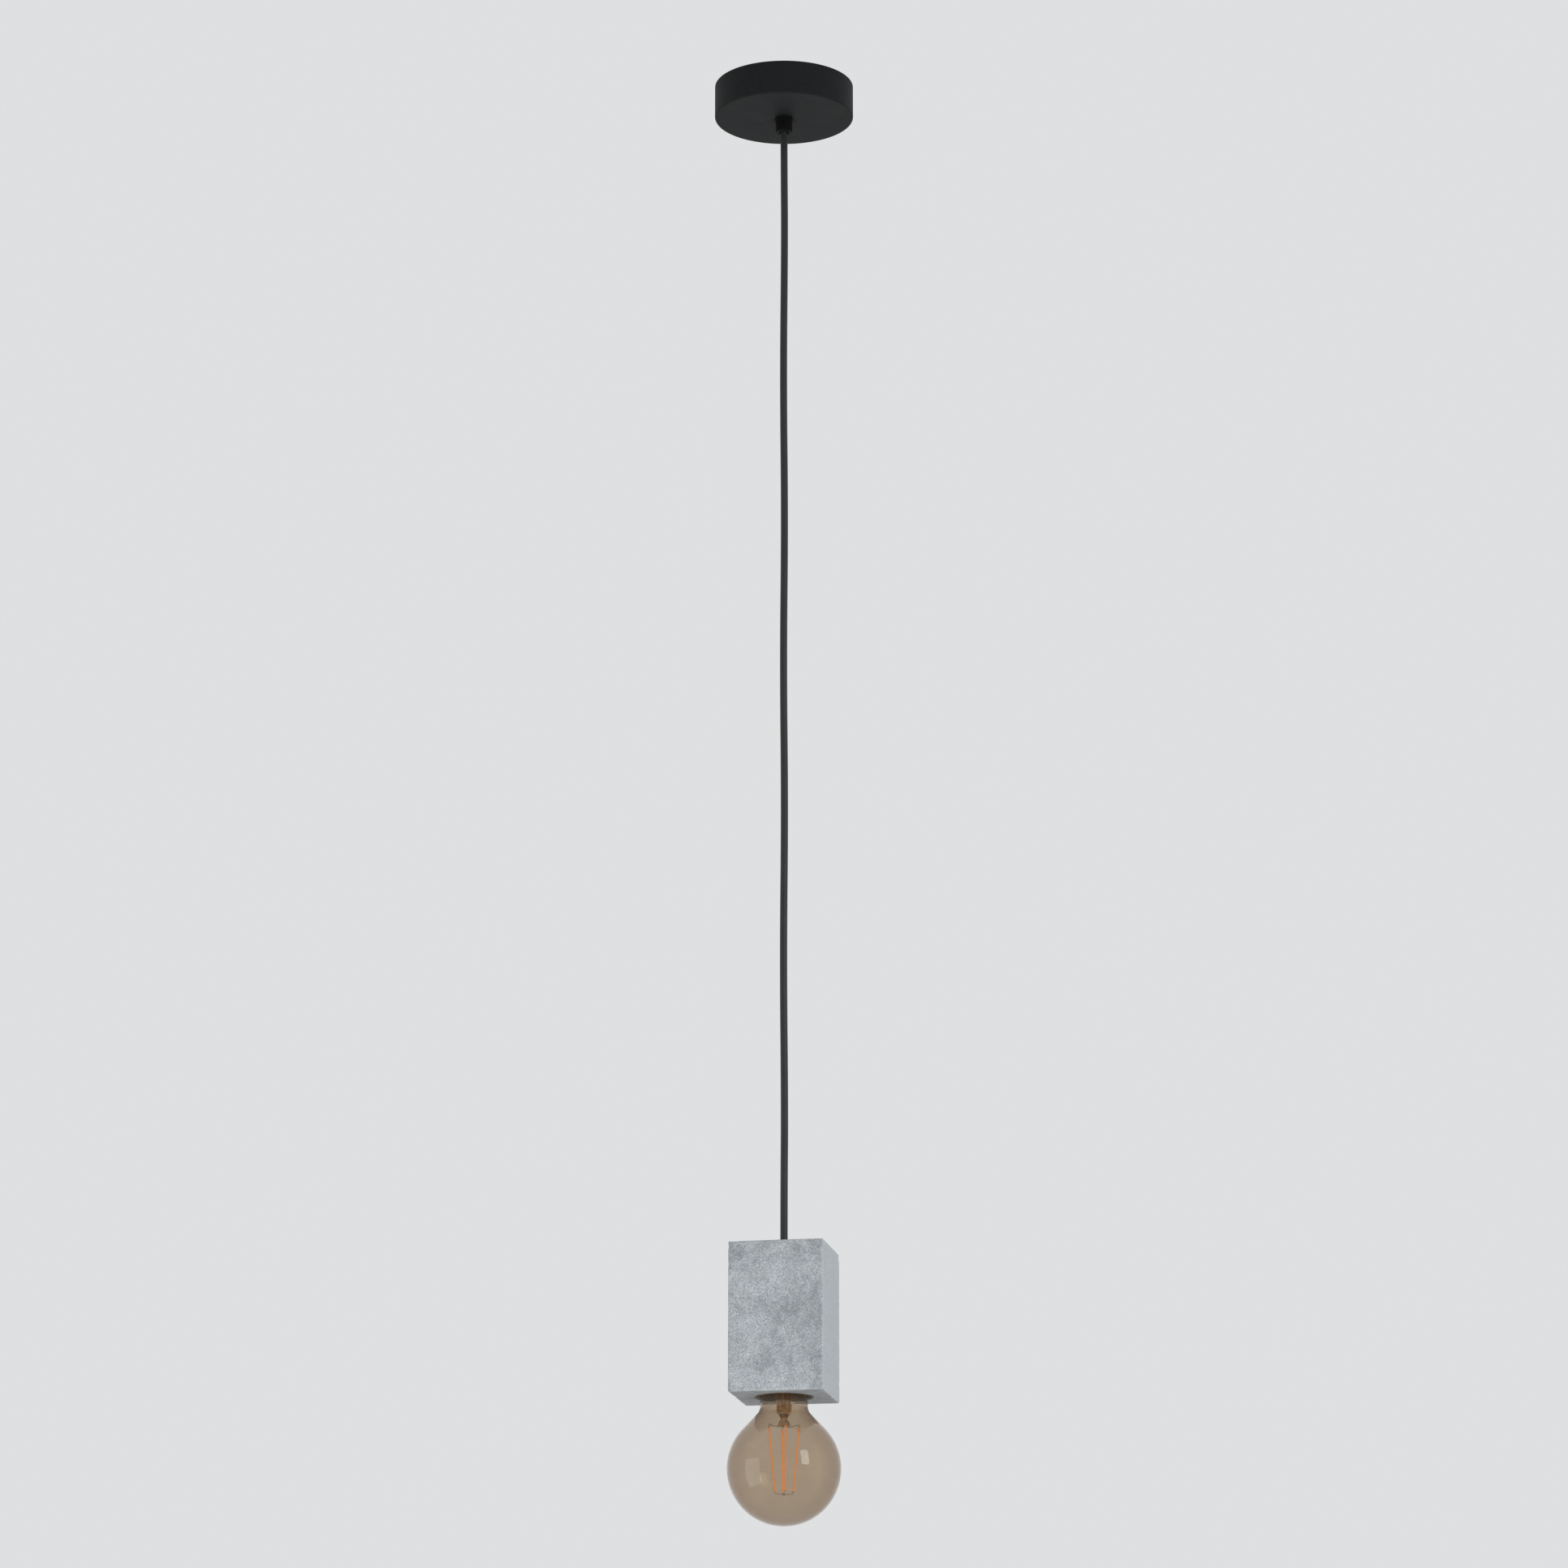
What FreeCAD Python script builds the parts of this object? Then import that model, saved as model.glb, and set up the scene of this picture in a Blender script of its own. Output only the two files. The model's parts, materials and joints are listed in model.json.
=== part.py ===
"""Pendant ceiling light: a round canopy, one straight cable, a cast concrete block and an E27 globe bulb.

Frame: millimetres, +Z up. The origin is on the ceiling plane, on the axis that the lamp hangs in.
The block's sides are square to X and Y. Each function below returns the solids of one node.
"""
import FreeCAD, Part

import math
import os

from FreeCAD import Vector

# ---------------------------------------------------------------- overall sizes
CANOPY_DIAMETER = 103.0
CANOPY_HEIGHT = 25.3
CABLE_DIAMETER = 5.3
BLOCK_SIDE = 67.5
BLOCK_HEIGHT = 106.0
BLOCK_TOP_DROP = 878.3          # ceiling plane to the top of the block
BULB_DIAMETER = 80.0
BULB_LENGTH = 122.0             # contact tip to the bottom of the globe
BULB_PROJECTION = 89.9          # how far the bulb stands out below the block

# ---------------------------------------------------------------- clearances
SHAFT_GAP = 0.03                # radial, a screw or tube in its hole or thread
SLIP_GAP = 0.15                 # radial, a cable or wire in a hole that it slides through
SEAT_GAP = 0.3                  # between soft or curved pieces that lie against each other
BALL_GAP = 0.05                 # radial, around the ball where the cable bends

# ---------------------------------------------------------------- canopy
CANOPY_WALL = 1.0
CANOPY_EDGE_RADIUS = 1.2

# ---------------------------------------------------------------- M10 x 1 lamp thread
TUBE_DIAMETER = 10.0
TUBE_BORE = 8.0
TUBE_CHAMFER = 0.5
LOCKNUT_ACROSS_FLATS = 14.0
LOCKNUT_THICKNESS = 3.0
LOCKNUT_CHAMFER = 0.5

# ---------------------------------------------------------------- cord grip
GRIP_DIAMETER = 12.4
GRIP_HEIGHT = 11.2
GRIP_THREAD_DEPTH = 3.4
GRIP_MOUTH_DIAMETER = 7.1
GRIP_EDGE_CHAMFER = 0.35
SET_SCREW_DIAMETER = 4.0
SET_SCREW_DROP = 5.6            # canopy underside to the screw's axis
SET_SCREW_RECESS = 0.25
SET_SCREW_SLOT = (0.7, 0.9)     # width, depth
SET_SCREW_SLOT_LEAN = 37.0      # degrees from upright, as it was left

# ---------------------------------------------------------------- ceiling bracket
BRACKET_THICKNESS = 1.5
BRACKET_WIDTH = 18.0
BRACKET_WEB_DROP = 9.0          # ceiling plane to the top of the web
BRACKET_WEB_LENGTH = 46.0
BRACKET_FOOT_LENGTH = 20.0
BRACKET_BEND_RADIUS = 1.0
SCREW_SLOT_WIDTH = 4.5
SCREW_SLOT_LENGTH = 12.0
LOCK_WASHER_DIAMETER = 15.0
LOCK_WASHER_THICKNESS = 0.7
LOCK_WASHER_TEETH = 12

# ---------------------------------------------------------------- terminal block
POLE_COUNT = 3
TERMINAL_LENGTH = 16.0          # along the barrels
TERMINAL_DEPTH = 11.0           # out from the bracket's ear
TERMINAL_TOP_DROP = 3.5
TERMINAL_FLOOR_GAP = 2.8        # terminal block to the canopy's floor
TERMINAL_BARREL_DIAMETER = 3.6
TERMINAL_BARREL_BORE = 2.4
TERMINAL_BARREL_LENGTH = 14.0
TERMINAL_SCREW_DIAMETER = 2.5
TERMINAL_SCREW_HEAD = 3.2
TERMINAL_SCREW_OFFSET = 4.0     # from the middle of the barrel to each screw
EAR_SCREW_DIAMETER = 2.0

# ---------------------------------------------------------------- earth stud
EARTH_SCREW_DIAMETER = 4.0
EARTH_HEAD_DIAMETER = 7.0
EARTH_HEAD_HEIGHT = 2.4
EARTH_PLACE = (-15.0, -4.0)
LUG_DIAMETER = 8.0
LUG_THICKNESS = 0.8
LUG_TAIL_LENGTH = 7.0
STAR_WASHER_THICKNESS = 0.5

# ---------------------------------------------------------------- wires
CORE_DIAMETER = 2.1
COPPER_DIAMETER = 1.0
CORE_SPACING = 2.4              # between the two cores inside the sheath
WIRE_CEILING_GAP = 2.6          # ceiling plane to the middle of the wires that cross the bracket

# ---------------------------------------------------------------- concrete block
BLOCK_EDGE_RADIUS = 0.8
BORE_GAP = 1.75                 # radial, around the lampholder
BORE_DEPTH = 56.3
BORE_EDGE_CHAMFER = 0.6
TUBE_HOLE_GAP = 0.3             # radial, around the threaded tube
BLOCK_WASHER_DIAMETER = 22.0
BLOCK_WASHER_THICKNESS = 1.2
BUSHING_LIP = 0.7
BUSHING_DEPTH = 5.0
TUBE_STAND_OUT = 0.5            # of the tube above its nut

# ---------------------------------------------------------------- lampholder
HOLDER_DIAMETER = 36.5
HOLDER_NECK_DIAMETER = 16.0
HOLDER_NECK_HEIGHT = 7.0
HOLDER_CAP_HEIGHT = 22.0
HOLDER_WALL = 2.2
HOLDER_RIM_SETBACK = 5.8        # from the block's underside up to the holder's rim
HOLDER_RIM_THICKNESS = 2.0
HOLDER_MOUTH_DIAMETER = 29.4
INSERT_THICKNESS = 6.0
CONTACT_STACK = 1.7             # insert's underside to the bulb's contact tip
CONTACT_THICKNESS = 0.4
CONTACT_WIDTH = 4.0
RIVET_DIAMETER = 3.0
TERMINAL_OFFSET = 10.5          # from the axis to each terminal screw
TERMINAL_PLATE_WIDTH = 6.8
TERMINAL_PLATE_THICKNESS = 0.8
HOLDER_SCREW_DIAMETER = 3.0
HOLDER_SCREW_HEAD = 5.5
HOLDER_SCREW_DEPTH = 4.0        # of the tapped holes in the insert
RIB_COUNT = 24
RIB_DIAMETER = 1.0

# ---------------------------------------------------------------- E27 thread
PITCH = 3.629
CAP_CREST_DIAMETER = 26.2
CAP_ROOT_DIAMETER = 24.1
THREAD_GAP = 0.3                # radial, between the bulb's thread and the holder's
RIDGE_BASE = 2.0
RIDGE_CREST = 0.8
RIDGE_ROOTED = 0.2              # how deep a ridge is rooted in its wall
SLEEVE_WALL = 0.5
SLEEVE_LENGTH = 22.4
SLEEVE_TURNS = 5.3
THREAD_RUNOUT = 0.2             # plain wall left beyond the end of a thread
CAP_TURNS = 3.2
CAP_WALL = 0.5
CAP_LENGTH = 27.0
CAP_SKIRT_DIAMETER = 27.2
CAP_SKIRT_LENGTH = 6.0
CAP_SKIRT_FLARE = 1.5           # height of the cone that widens the shell to the skirt
CAP_INSULATOR_HEIGHT = 5.5
TIP_DIAMETER = 9.5
TIP_HEIGHT = 1.6
TIP_RIVET_DIAMETER = 4.0
INSULATOR_DEPTH = 1.5           # how far the insulator reaches down into the shell

# ---------------------------------------------------------------- bulb glass
GLASS_WALL = 0.7
BULB_NECK_DIAMETER = 33.6
BULB_CONE_ANGLE = 43.5          # of the shoulder, from upright
BULB_NECK_FILLET = 8.0
SHOULDER_RISE = 1.6             # from the cap's rim up to the narrow end's shoulder
SHOULDER_DROP = 5.0             # from the cap's rim down to the full neck
GLASS_IN_CAP = 8.5
GLASS_IN_CAP_DIAMETER = 22.2

# ---------------------------------------------------------------- inside the bulb
STEM_DIAMETER = 10.6
STEM_WALL = 0.9
STEM_WAIST_DIAMETER = 4.85
STEM_END_DIAMETER = 9.1
STEM_END_DROP = 52.2            # contact tip to the stem's lower end
STEM_WAIST_RISE = 4.9
STEM_TUBE_RISE = 10.3
STEM_FLARE_HEIGHT = 6.5
EXHAUST_DIAMETER = 3.2
FILAMENT_COUNT = 4
FILAMENT_DIAMETER = 1.2
FILAMENT_TOP_RADIUS = 10.7
FILAMENT_FOOT_RADIUS = 6.4
FILAMENT_TOP_DROP = 52.6        # contact tip to the filaments' upper ends
FILAMENT_HEIGHT = 45.9
FILAMENT_PHASE = 16.7           # degrees, from -Y to the first filament
FERRULE_DIAMETER = 1.5
FERRULE_LENGTH = 2.6
SUPPORT_WIRE_DIAMETER = 0.5
DRIVER_THICKNESS = 1.2
CAPACITOR_SIZE = (5.0, 8.0)     # diameter, length
LEAD_SPACING = 6.4              # between the two wires down the stem

# ---------------------------------------------------------------- levels worked out from the sizes
CANOPY_FLOOR = -CANOPY_HEIGHT
GRIP_MOUTH = CANOPY_FLOOR - GRIP_HEIGHT
SWING_PIVOT = GRIP_MOUTH
BRACKET_WEB_TOP = -BRACKET_WEB_DROP
BRACKET_WEB_BOTTOM = BRACKET_WEB_TOP - BRACKET_THICKNESS
POLE_PITCH = (CANOPY_HEIGHT - CANOPY_WALL - TERMINAL_FLOOR_GAP - TERMINAL_TOP_DROP) / POLE_COUNT
UPPER_TUBE_TOP = BRACKET_WEB_TOP + LOCK_WASHER_THICKNESS + LOCKNUT_THICKNESS + TUBE_STAND_OUT
UPPER_TUBE_BOTTOM = CANOPY_FLOOR - GRIP_THREAD_DEPTH
SHEATH_TOP = UPPER_TUBE_TOP - 1.5
BLOCK_TOP = -BLOCK_TOP_DROP
BLOCK_BOTTOM = BLOCK_TOP - BLOCK_HEIGHT
BORE_CEILING = BLOCK_BOTTOM + BORE_DEPTH
LOWER_TUBE_TOP = BLOCK_TOP + BLOCK_WASHER_THICKNESS + LOCKNUT_THICKNESS + TUBE_STAND_OUT
CABLE_ENTRY = LOWER_TUBE_TOP + BUSHING_LIP
HOLDER_RIM = BLOCK_BOTTOM + HOLDER_RIM_SETBACK
HOLDER_SPLIT = BORE_CEILING - HOLDER_CAP_HEIGHT
BULB_BOTTOM = BLOCK_BOTTOM - BULB_PROJECTION
BULB_TIP = BULB_BOTTOM + BULB_LENGTH
BULB_CENTRE = BULB_BOTTOM + BULB_DIAMETER / 2
CAP_RIM = BULB_TIP - CAP_LENGTH
INSERT_BOTTOM = BULB_TIP + CONTACT_STACK
INSERT_TOP = INSERT_BOTTOM + INSERT_THICKNESS
SHELL_TOP = BULB_TIP - TIP_HEIGHT - CAP_INSULATOR_HEIGHT
INSULATOR_BOTTOM = SHELL_TOP - INSULATOR_DEPTH
GLASS_TOP = CAP_RIM + GLASS_IN_CAP
SLEEVE_INNER_DIAMETER = CAP_CREST_DIAMETER + 2 * THREAD_GAP
SLEEVE_CREST_DIAMETER = CAP_ROOT_DIAMETER + 2 * THREAD_GAP
SLEEVE_TOP = INSERT_BOTTOM
EAR_FACE = BRACKET_WIDTH / 2 + BRACKET_THICKNESS
BARREL_Y = EAR_FACE + TERMINAL_DEPTH / 2

UP = Vector(0, 0, 1)
X = Vector(1, 0, 0)
Y = Vector(0, 1, 0)
ORIGIN = Vector(0, 0, 0)


# ================================================================ shape helpers
def cylinder(diameter, bottom, top, x=0.0, y=0.0):
    """An upright cylinder between two levels."""
    return Part.makeCylinder(diameter / 2, top - bottom, Vector(x, y, bottom), UP)


def pin(diameter, start, end):
    """A cylinder from one point to another."""
    return Part.makeCylinder(diameter / 2, (end - start).Length, start, end - start)


def ring(outer, inner, bottom, top, x=0.0, y=0.0):
    """An upright tube between two levels."""
    return cylinder(outer, bottom, top, x, y).cut(cylinder(inner, bottom - 1, top + 1, x, y))


def box(low, high):
    """A box from its lowest to its highest corner."""
    size = Vector(*high) - Vector(*low)
    return Part.makeBox(size.x, size.y, size.z, Vector(*low))


def lathe(start, *steps):
    """A closed outline turned about Z. A step is a point (r, z) for a straight side, or
    (middle, end) for an arc through the middle point."""
    def place(point):
        return Vector(point[0], 0, point[1])

    edges = []
    here = start
    for step in steps + (start,):
        if isinstance(step[0], tuple):
            middle, end = step
            edges.append(Part.Arc(place(here), place(middle), place(end)).toShape())
        else:
            end = step
            if (place(end) - place(here)).Length > 1e-6:
                edges.append(Part.LineSegment(place(here), place(end)).toShape())
        here = end
    return Part.Face(Part.Wire(edges)).revolve(ORIGIN, UP, 360)


def prism(outline, height):
    """Points (x, y, z) of a flat outline, pushed along a vector."""
    corners = [Vector(*point) for point in outline]
    return Part.Face(Part.makePolygon(corners + corners[:1])).extrude(height)


def hexagon(across_flats, bottom, top, x=0.0, y=0.0):
    """An upright hexagonal prism with its corners chamfered by a cone at both ends."""
    corner = across_flats / math.sqrt(3)
    points = []
    for step in range(6):
        turn = math.radians(60 * step)
        points.append((x + corner * math.cos(turn), y + corner * math.sin(turn), bottom))
    body = prism(points, Vector(0, 0, top - bottom))
    rim = across_flats / 2
    lift = min(LOCKNUT_CHAMFER, (top - bottom) / 3)
    barrel = lathe(
        (0, bottom), (rim, bottom), (rim + 2 * lift, bottom + lift),
        (rim + 2 * lift, top - lift), (rim, top), (0, top),
    )
    barrel.translate(Vector(x, y, 0))
    return body.common(barrel)


def route(points, bend):
    """Straight runs through the points, joined by arcs of the bend radius. Where a run is short
    the arc takes what the run leaves it."""
    spots = [Vector(*point) for point in points]
    edges = []
    here = spots[0]
    for before, corner, after in zip(spots, spots[1:], spots[2:]):
        inward = (corner - before).normalize()
        outward = (after - corner).normalize()
        half_turn = inward.getAngle(outward) / 2
        room = 0.45 * min((corner - before).Length, (after - corner).Length)
        setback = min(bend * math.tan(half_turn), room)
        radius = setback / math.tan(half_turn)
        start = corner - inward * setback
        end = corner + outward * setback
        aim = (outward - inward).normalize()
        middle = corner + aim * (radius / math.cos(half_turn) - radius)
        edges.append(Part.LineSegment(here, start).toShape())
        edges.append(Part.Arc(start, middle, end).toShape())
        here = end
    edges.append(Part.LineSegment(here, spots[-1]).toShape())
    return Part.Wire(edges)


def bent_rod(points, diameter, bend):
    """A round wire that follows a route."""
    spine = route(points, bend)
    heading = Vector(*points[1]) - Vector(*points[0])
    section = Part.Wire([Part.Circle(Vector(*points[0]), heading, diameter / 2).toShape()])
    rod = spine.makePipeShell([section], True, False)
    expected = math.pi * diameter ** 2 / 4 * spine.Length
    if abs(rod.Volume - expected) > 0.03 * expected:
        raise ValueError("a bent rod's volume differs from its section times its length")
    return rod


def around(count, shape, first=0.0):
    """The shape turned about Z to count even places, the first of them turned by an angle."""
    copies = []
    for step in range(count):
        copy = shape.copy()
        copy.rotate(ORIGIN, UP, first + 360 * step / count)
        copies.append(copy)
    return copies


def helical_ridge(wall, crest, bottom, turns):
    """One thread ridge that winds up from a level, rooted in a wall of one diameter and reaching
    to a crest of another. It is right-handed, inside or outside."""
    rooted = RIDGE_ROOTED if wall > crest else -RIDGE_ROOTED
    root = wall / 2 + rooted
    tip = crest / 2
    profile = [
        Vector(root, 0, -RIDGE_BASE / 2), Vector(tip, 0, -RIDGE_CREST / 2),
        Vector(tip, 0, RIDGE_CREST / 2), Vector(root, 0, RIDGE_BASE / 2),
    ]
    spine = Part.makeHelix(PITCH, PITCH * turns, tip)
    ridge = Part.Wire(spine).makePipeShell([Part.makePolygon(profile + profile[:1])], True, True)
    ridge.translate(Vector(0, 0, bottom))
    return ridge


def slotted_pan_head(shaft, head, head_height, length, slot_width):
    """A slotted screw that points up from the origin: its head lies below z = 0."""
    edge = head_height / 3
    body = lathe(
        (0, -head_height), (head / 2 - edge, -head_height),
        (head / 2, -head_height + edge), (head / 2, 0),
        (shaft / 2, 0), (shaft / 2, length), (0, length),
    )
    slot = box(
        (-head, -slot_width / 2, -head_height - 1), (head, slot_width / 2, -head_height / 2)
    )
    return body.cut(slot)


def aimed(shape, place, direction):
    """A shape made along +Z at the origin, turned to a direction and moved to a place."""
    copy = shape.copy()
    copy.Placement = FreeCAD.Placement(place, FreeCAD.Rotation(UP, direction))
    return copy


# ================================================================ canopy and its fittings
def canopy_cup():
    """Pressed steel cup, open to the ceiling, with a hole for the threaded tube."""
    outer = CANOPY_DIAMETER / 2
    inner = outer - CANOPY_WALL
    outside = CANOPY_EDGE_RADIUS
    inside = max(outside - CANOPY_WALL, 0.2)
    floor = CANOPY_FLOOR + CANOPY_WALL
    hole = TUBE_DIAMETER / 2 + SLIP_GAP
    return lathe(
        (hole, CANOPY_FLOOR), (outer - outside, CANOPY_FLOOR),
        (corner_of(outer, CANOPY_FLOOR, outside), (outer, CANOPY_FLOOR + outside)),
        (outer, 0), (inner, 0), (inner, floor + inside),
        (corner_of(inner, floor, inside), (inner - inside, floor)),
        (hole, floor),
    )


def corner_of(r, z, radius):
    """The middle point of a quarter-round corner that opens upwards and inwards."""
    reach = radius * (1 - math.sqrt(0.5))
    return (r - reach, z + reach)


def ceiling_bracket():
    """Offset steel strap: two slotted feet on the ceiling, a web that holds the threaded tube, and
    an ear bent down from the web for the terminal block."""
    half_web = BRACKET_WEB_LENGTH / 2
    reach = half_web + BRACKET_FOOT_LENGTH
    side = BRACKET_WIDTH / 2
    strap = box((-reach, -side, BRACKET_WEB_BOTTOM), (reach, side, 0))
    strap = strap.cut(box(
        (-half_web + BRACKET_THICKNESS, -side - 1, BRACKET_WEB_TOP),
        (half_web - BRACKET_THICKNESS, side + 1, 1),
    ))
    for low, high in ((half_web, reach + 1), (-reach - 1, -half_web)):
        under_foot = box((low, -side - 1, BRACKET_WEB_BOTTOM - 1), (high, side + 1, -BRACKET_THICKNESS))
        strap = strap.cut(under_foot)
    bends = [
        edge for edge in strap.Edges
        if abs(edge.Length - BRACKET_WIDTH) < 1e-6 and abs(abs(edge.CenterOfMass.x) - reach) > 1
    ]
    strap = strap.makeFillet(BRACKET_BEND_RADIUS, bends)
    foot_ends = [
        edge for edge in strap.Edges
        if abs(edge.Length - BRACKET_THICKNESS) < 1e-6 and abs(abs(edge.CenterOfMass.x) - reach) < 1e-6
    ]
    strap = strap.makeFillet(BRACKET_WIDTH / 6, foot_ends)
    ear = box(
        (-TERMINAL_LENGTH / 2 - 1, side - BRACKET_THICKNESS, terminal_bottom()),
        (TERMINAL_LENGTH / 2 + 1, side + BRACKET_THICKNESS, BRACKET_WEB_TOP),
    )
    relief = box(
        (-TERMINAL_LENGTH, side - BRACKET_THICKNESS - 1, terminal_bottom() - 1),
        (TERMINAL_LENGTH, side, BRACKET_WEB_BOTTOM),
    )
    strap = strap.fuse(ear.cut(relief)).removeSplitter()
    web = (BRACKET_WEB_BOTTOM - 1, BRACKET_WEB_TOP + 1)
    holes = [
        cylinder(TUBE_DIAMETER + 2 * SHAFT_GAP, *web),
        cylinder(EARTH_SCREW_DIAMETER + 2 * SHAFT_GAP, *web, *EARTH_PLACE),
        pin(
            EAR_SCREW_DIAMETER + 2 * SHAFT_GAP,
            Vector(0, side - 3, ear_screw_level()), Vector(0, EAR_FACE + 1, ear_screw_level()),
        ),
    ]
    for sign in (-1, 1):
        holes.append(screw_slot(sign * (half_web + BRACKET_FOOT_LENGTH / 2 + BRACKET_BEND_RADIUS)))
    return strap.cut(holes)


def screw_slot(middle):
    """The long hole in a foot, cut through upright."""
    half = (SCREW_SLOT_LENGTH - SCREW_SLOT_WIDTH) / 2
    bottom = -BRACKET_THICKNESS - 1
    slot = box((middle - half, -SCREW_SLOT_WIDTH / 2, bottom), (middle + half, SCREW_SLOT_WIDTH / 2, 1))
    for end in (-half, half):
        slot = slot.fuse(cylinder(SCREW_SLOT_WIDTH, bottom, 1, middle + end))
    return slot.removeSplitter()


def threaded_tube(bottom, top):
    """M10 x 1 tube with chamfered ends."""
    outer = TUBE_DIAMETER / 2
    inner = TUBE_BORE / 2
    return lathe(
        (inner, bottom), (outer - TUBE_CHAMFER, bottom), (outer, bottom + TUBE_CHAMFER),
        (outer, top - TUBE_CHAMFER), (outer - TUBE_CHAMFER, top), (inner, top),
    )


def locknut(bottom):
    """Thin M10 x 1 nut."""
    body = hexagon(LOCKNUT_ACROSS_FLATS, bottom, bottom + LOCKNUT_THICKNESS)
    return body.cut(cylinder(TUBE_DIAMETER + 2 * SHAFT_GAP, bottom - 1, bottom + LOCKNUT_THICKNESS + 1))


def bracket_nuts():
    """One nut above the web, on the lock washer, and one below it."""
    above = locknut(BRACKET_WEB_TOP + LOCK_WASHER_THICKNESS)
    below = locknut(BRACKET_WEB_BOTTOM - LOCKNUT_THICKNESS)
    return [above, below]


def toothed_washer(outer, bore, bottom, thickness, teeth, x=0.0, y=0.0):
    """A flat lock washer with square notches around its rim."""
    washer = ring(outer, bore, bottom, bottom + thickness)
    depth = (outer - bore) / 5
    width = math.pi * outer / teeth / 2.5
    notch = box((outer / 2 - depth, -width / 2, bottom - 1), (outer, width / 2, bottom + thickness + 1))
    washer = washer.cut(around(teeth, notch))
    washer.translate(Vector(x, y, 0))
    return washer


def bracket_lock_washer():
    return toothed_washer(
        LOCK_WASHER_DIAMETER, TUBE_DIAMETER + 2 * SLIP_GAP,
        BRACKET_WEB_TOP, LOCK_WASHER_THICKNESS, LOCK_WASHER_TEETH,
    )


def cord_grip():
    """Turned grip: its upper end screws onto the threaded tube, the cable leaves by its mouth."""
    outer = GRIP_DIAMETER / 2
    mouth = GRIP_MOUTH_DIAMETER / 2
    edge = GRIP_EDGE_CHAMFER
    thread = TUBE_DIAMETER / 2 + SHAFT_GAP
    step = CANOPY_FLOOR - GRIP_THREAD_DEPTH - SHAFT_GAP
    body = lathe(
        (mouth + edge, GRIP_MOUTH), (outer - edge, GRIP_MOUTH), (outer, GRIP_MOUTH + edge),
        (outer, CANOPY_FLOOR - edge), (outer - edge, CANOPY_FLOOR), (thread, CANOPY_FLOOR),
        (thread, step), (mouth, step), (mouth, GRIP_MOUTH + edge),
    )
    level = CANOPY_FLOOR - SET_SCREW_DROP
    tapped = SET_SCREW_DIAMETER + 2 * SHAFT_GAP
    return body.cut(pin(tapped, Vector(0, 0, level), Vector(0, -outer - 1, level)))


def grip_set_screw():
    """Slotted screw that presses on the cable from the front of the grip."""
    length = (GRIP_DIAMETER - CABLE_DIAMETER) / 2 - SET_SCREW_RECESS
    screw = lathe(
        (0, 0), (SET_SCREW_DIAMETER / 2 - 0.4, 0), (SET_SCREW_DIAMETER / 2, 0.4),
        (SET_SCREW_DIAMETER / 2, length), (0, length),
    )
    width, depth = SET_SCREW_SLOT
    reach = SET_SCREW_DIAMETER
    slot = box((-reach, -width / 2, length - depth), (reach, width / 2, length + 1))
    slot.rotate(ORIGIN, UP, 90 - SET_SCREW_SLOT_LEAN)
    screw = screw.cut(slot)
    level = CANOPY_FLOOR - SET_SCREW_DROP
    screw.rotate(ORIGIN, X, 90)
    screw.translate(Vector(0, -CABLE_DIAMETER / 2, level))
    return screw


# ================================================================ wiring inside the canopy
def pole_level(pole):
    """Height of a pole's barrel, the first pole on top."""
    return -TERMINAL_TOP_DROP - POLE_PITCH * (pole + 0.5)


def terminal_bottom():
    return -TERMINAL_TOP_DROP - POLE_PITCH * POLE_COUNT


def ear_screw_level():
    """Halfway between the two lowest poles."""
    return terminal_bottom() + POLE_PITCH


def barrel_places():
    return [Vector(0, BARREL_Y, pole_level(pole)) for pole in range(POLE_COUNT)]


def terminal_screw_places():
    """Every terminal screw's seat: two to a barrel, on its outward side."""
    places = []
    for barrel in barrel_places():
        for side in (-TERMINAL_SCREW_OFFSET, TERMINAL_SCREW_OFFSET):
            places.append(barrel + Vector(side, TERMINAL_BARREL_DIAMETER / 2, 0))
    return places


def terminal_block():
    """Plastic body on the bracket's ear, with a tunnel for each barrel and a well for each screw."""
    half = TERMINAL_LENGTH / 2
    front = EAR_FACE + TERMINAL_DEPTH
    body = box((-half, EAR_FACE, terminal_bottom()), (half, front, -TERMINAL_TOP_DROP))
    cuts = []
    for place in barrel_places():
        reach = Vector(half + 1, 0, 0)
        cuts.append(pin(TERMINAL_BARREL_DIAMETER + 2 * SHAFT_GAP, place - reach, place + reach))
    for place in terminal_screw_places():
        cuts.append(pin(TERMINAL_SCREW_HEAD + 0.4, place - Y, place + Y * TERMINAL_DEPTH))
    for pole in range(1, POLE_COUNT):
        level = -TERMINAL_TOP_DROP - POLE_PITCH * pole
        cuts.append(box((-half - 1, front - 1.5, level - 0.4), (half + 1, front + 1, level + 0.4)))
    hole = EAR_SCREW_DIAMETER + 2 * SHAFT_GAP
    level = ear_screw_level()
    cuts.append(pin(hole, Vector(0, EAR_FACE - 1, level), Vector(0, front + 1, level)))
    cuts.append(pin(
        TERMINAL_SCREW_HEAD + 1.4, Vector(0, front - 2.5, level), Vector(0, front + 1, level)
    ))
    return body.cut(cuts)


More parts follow.
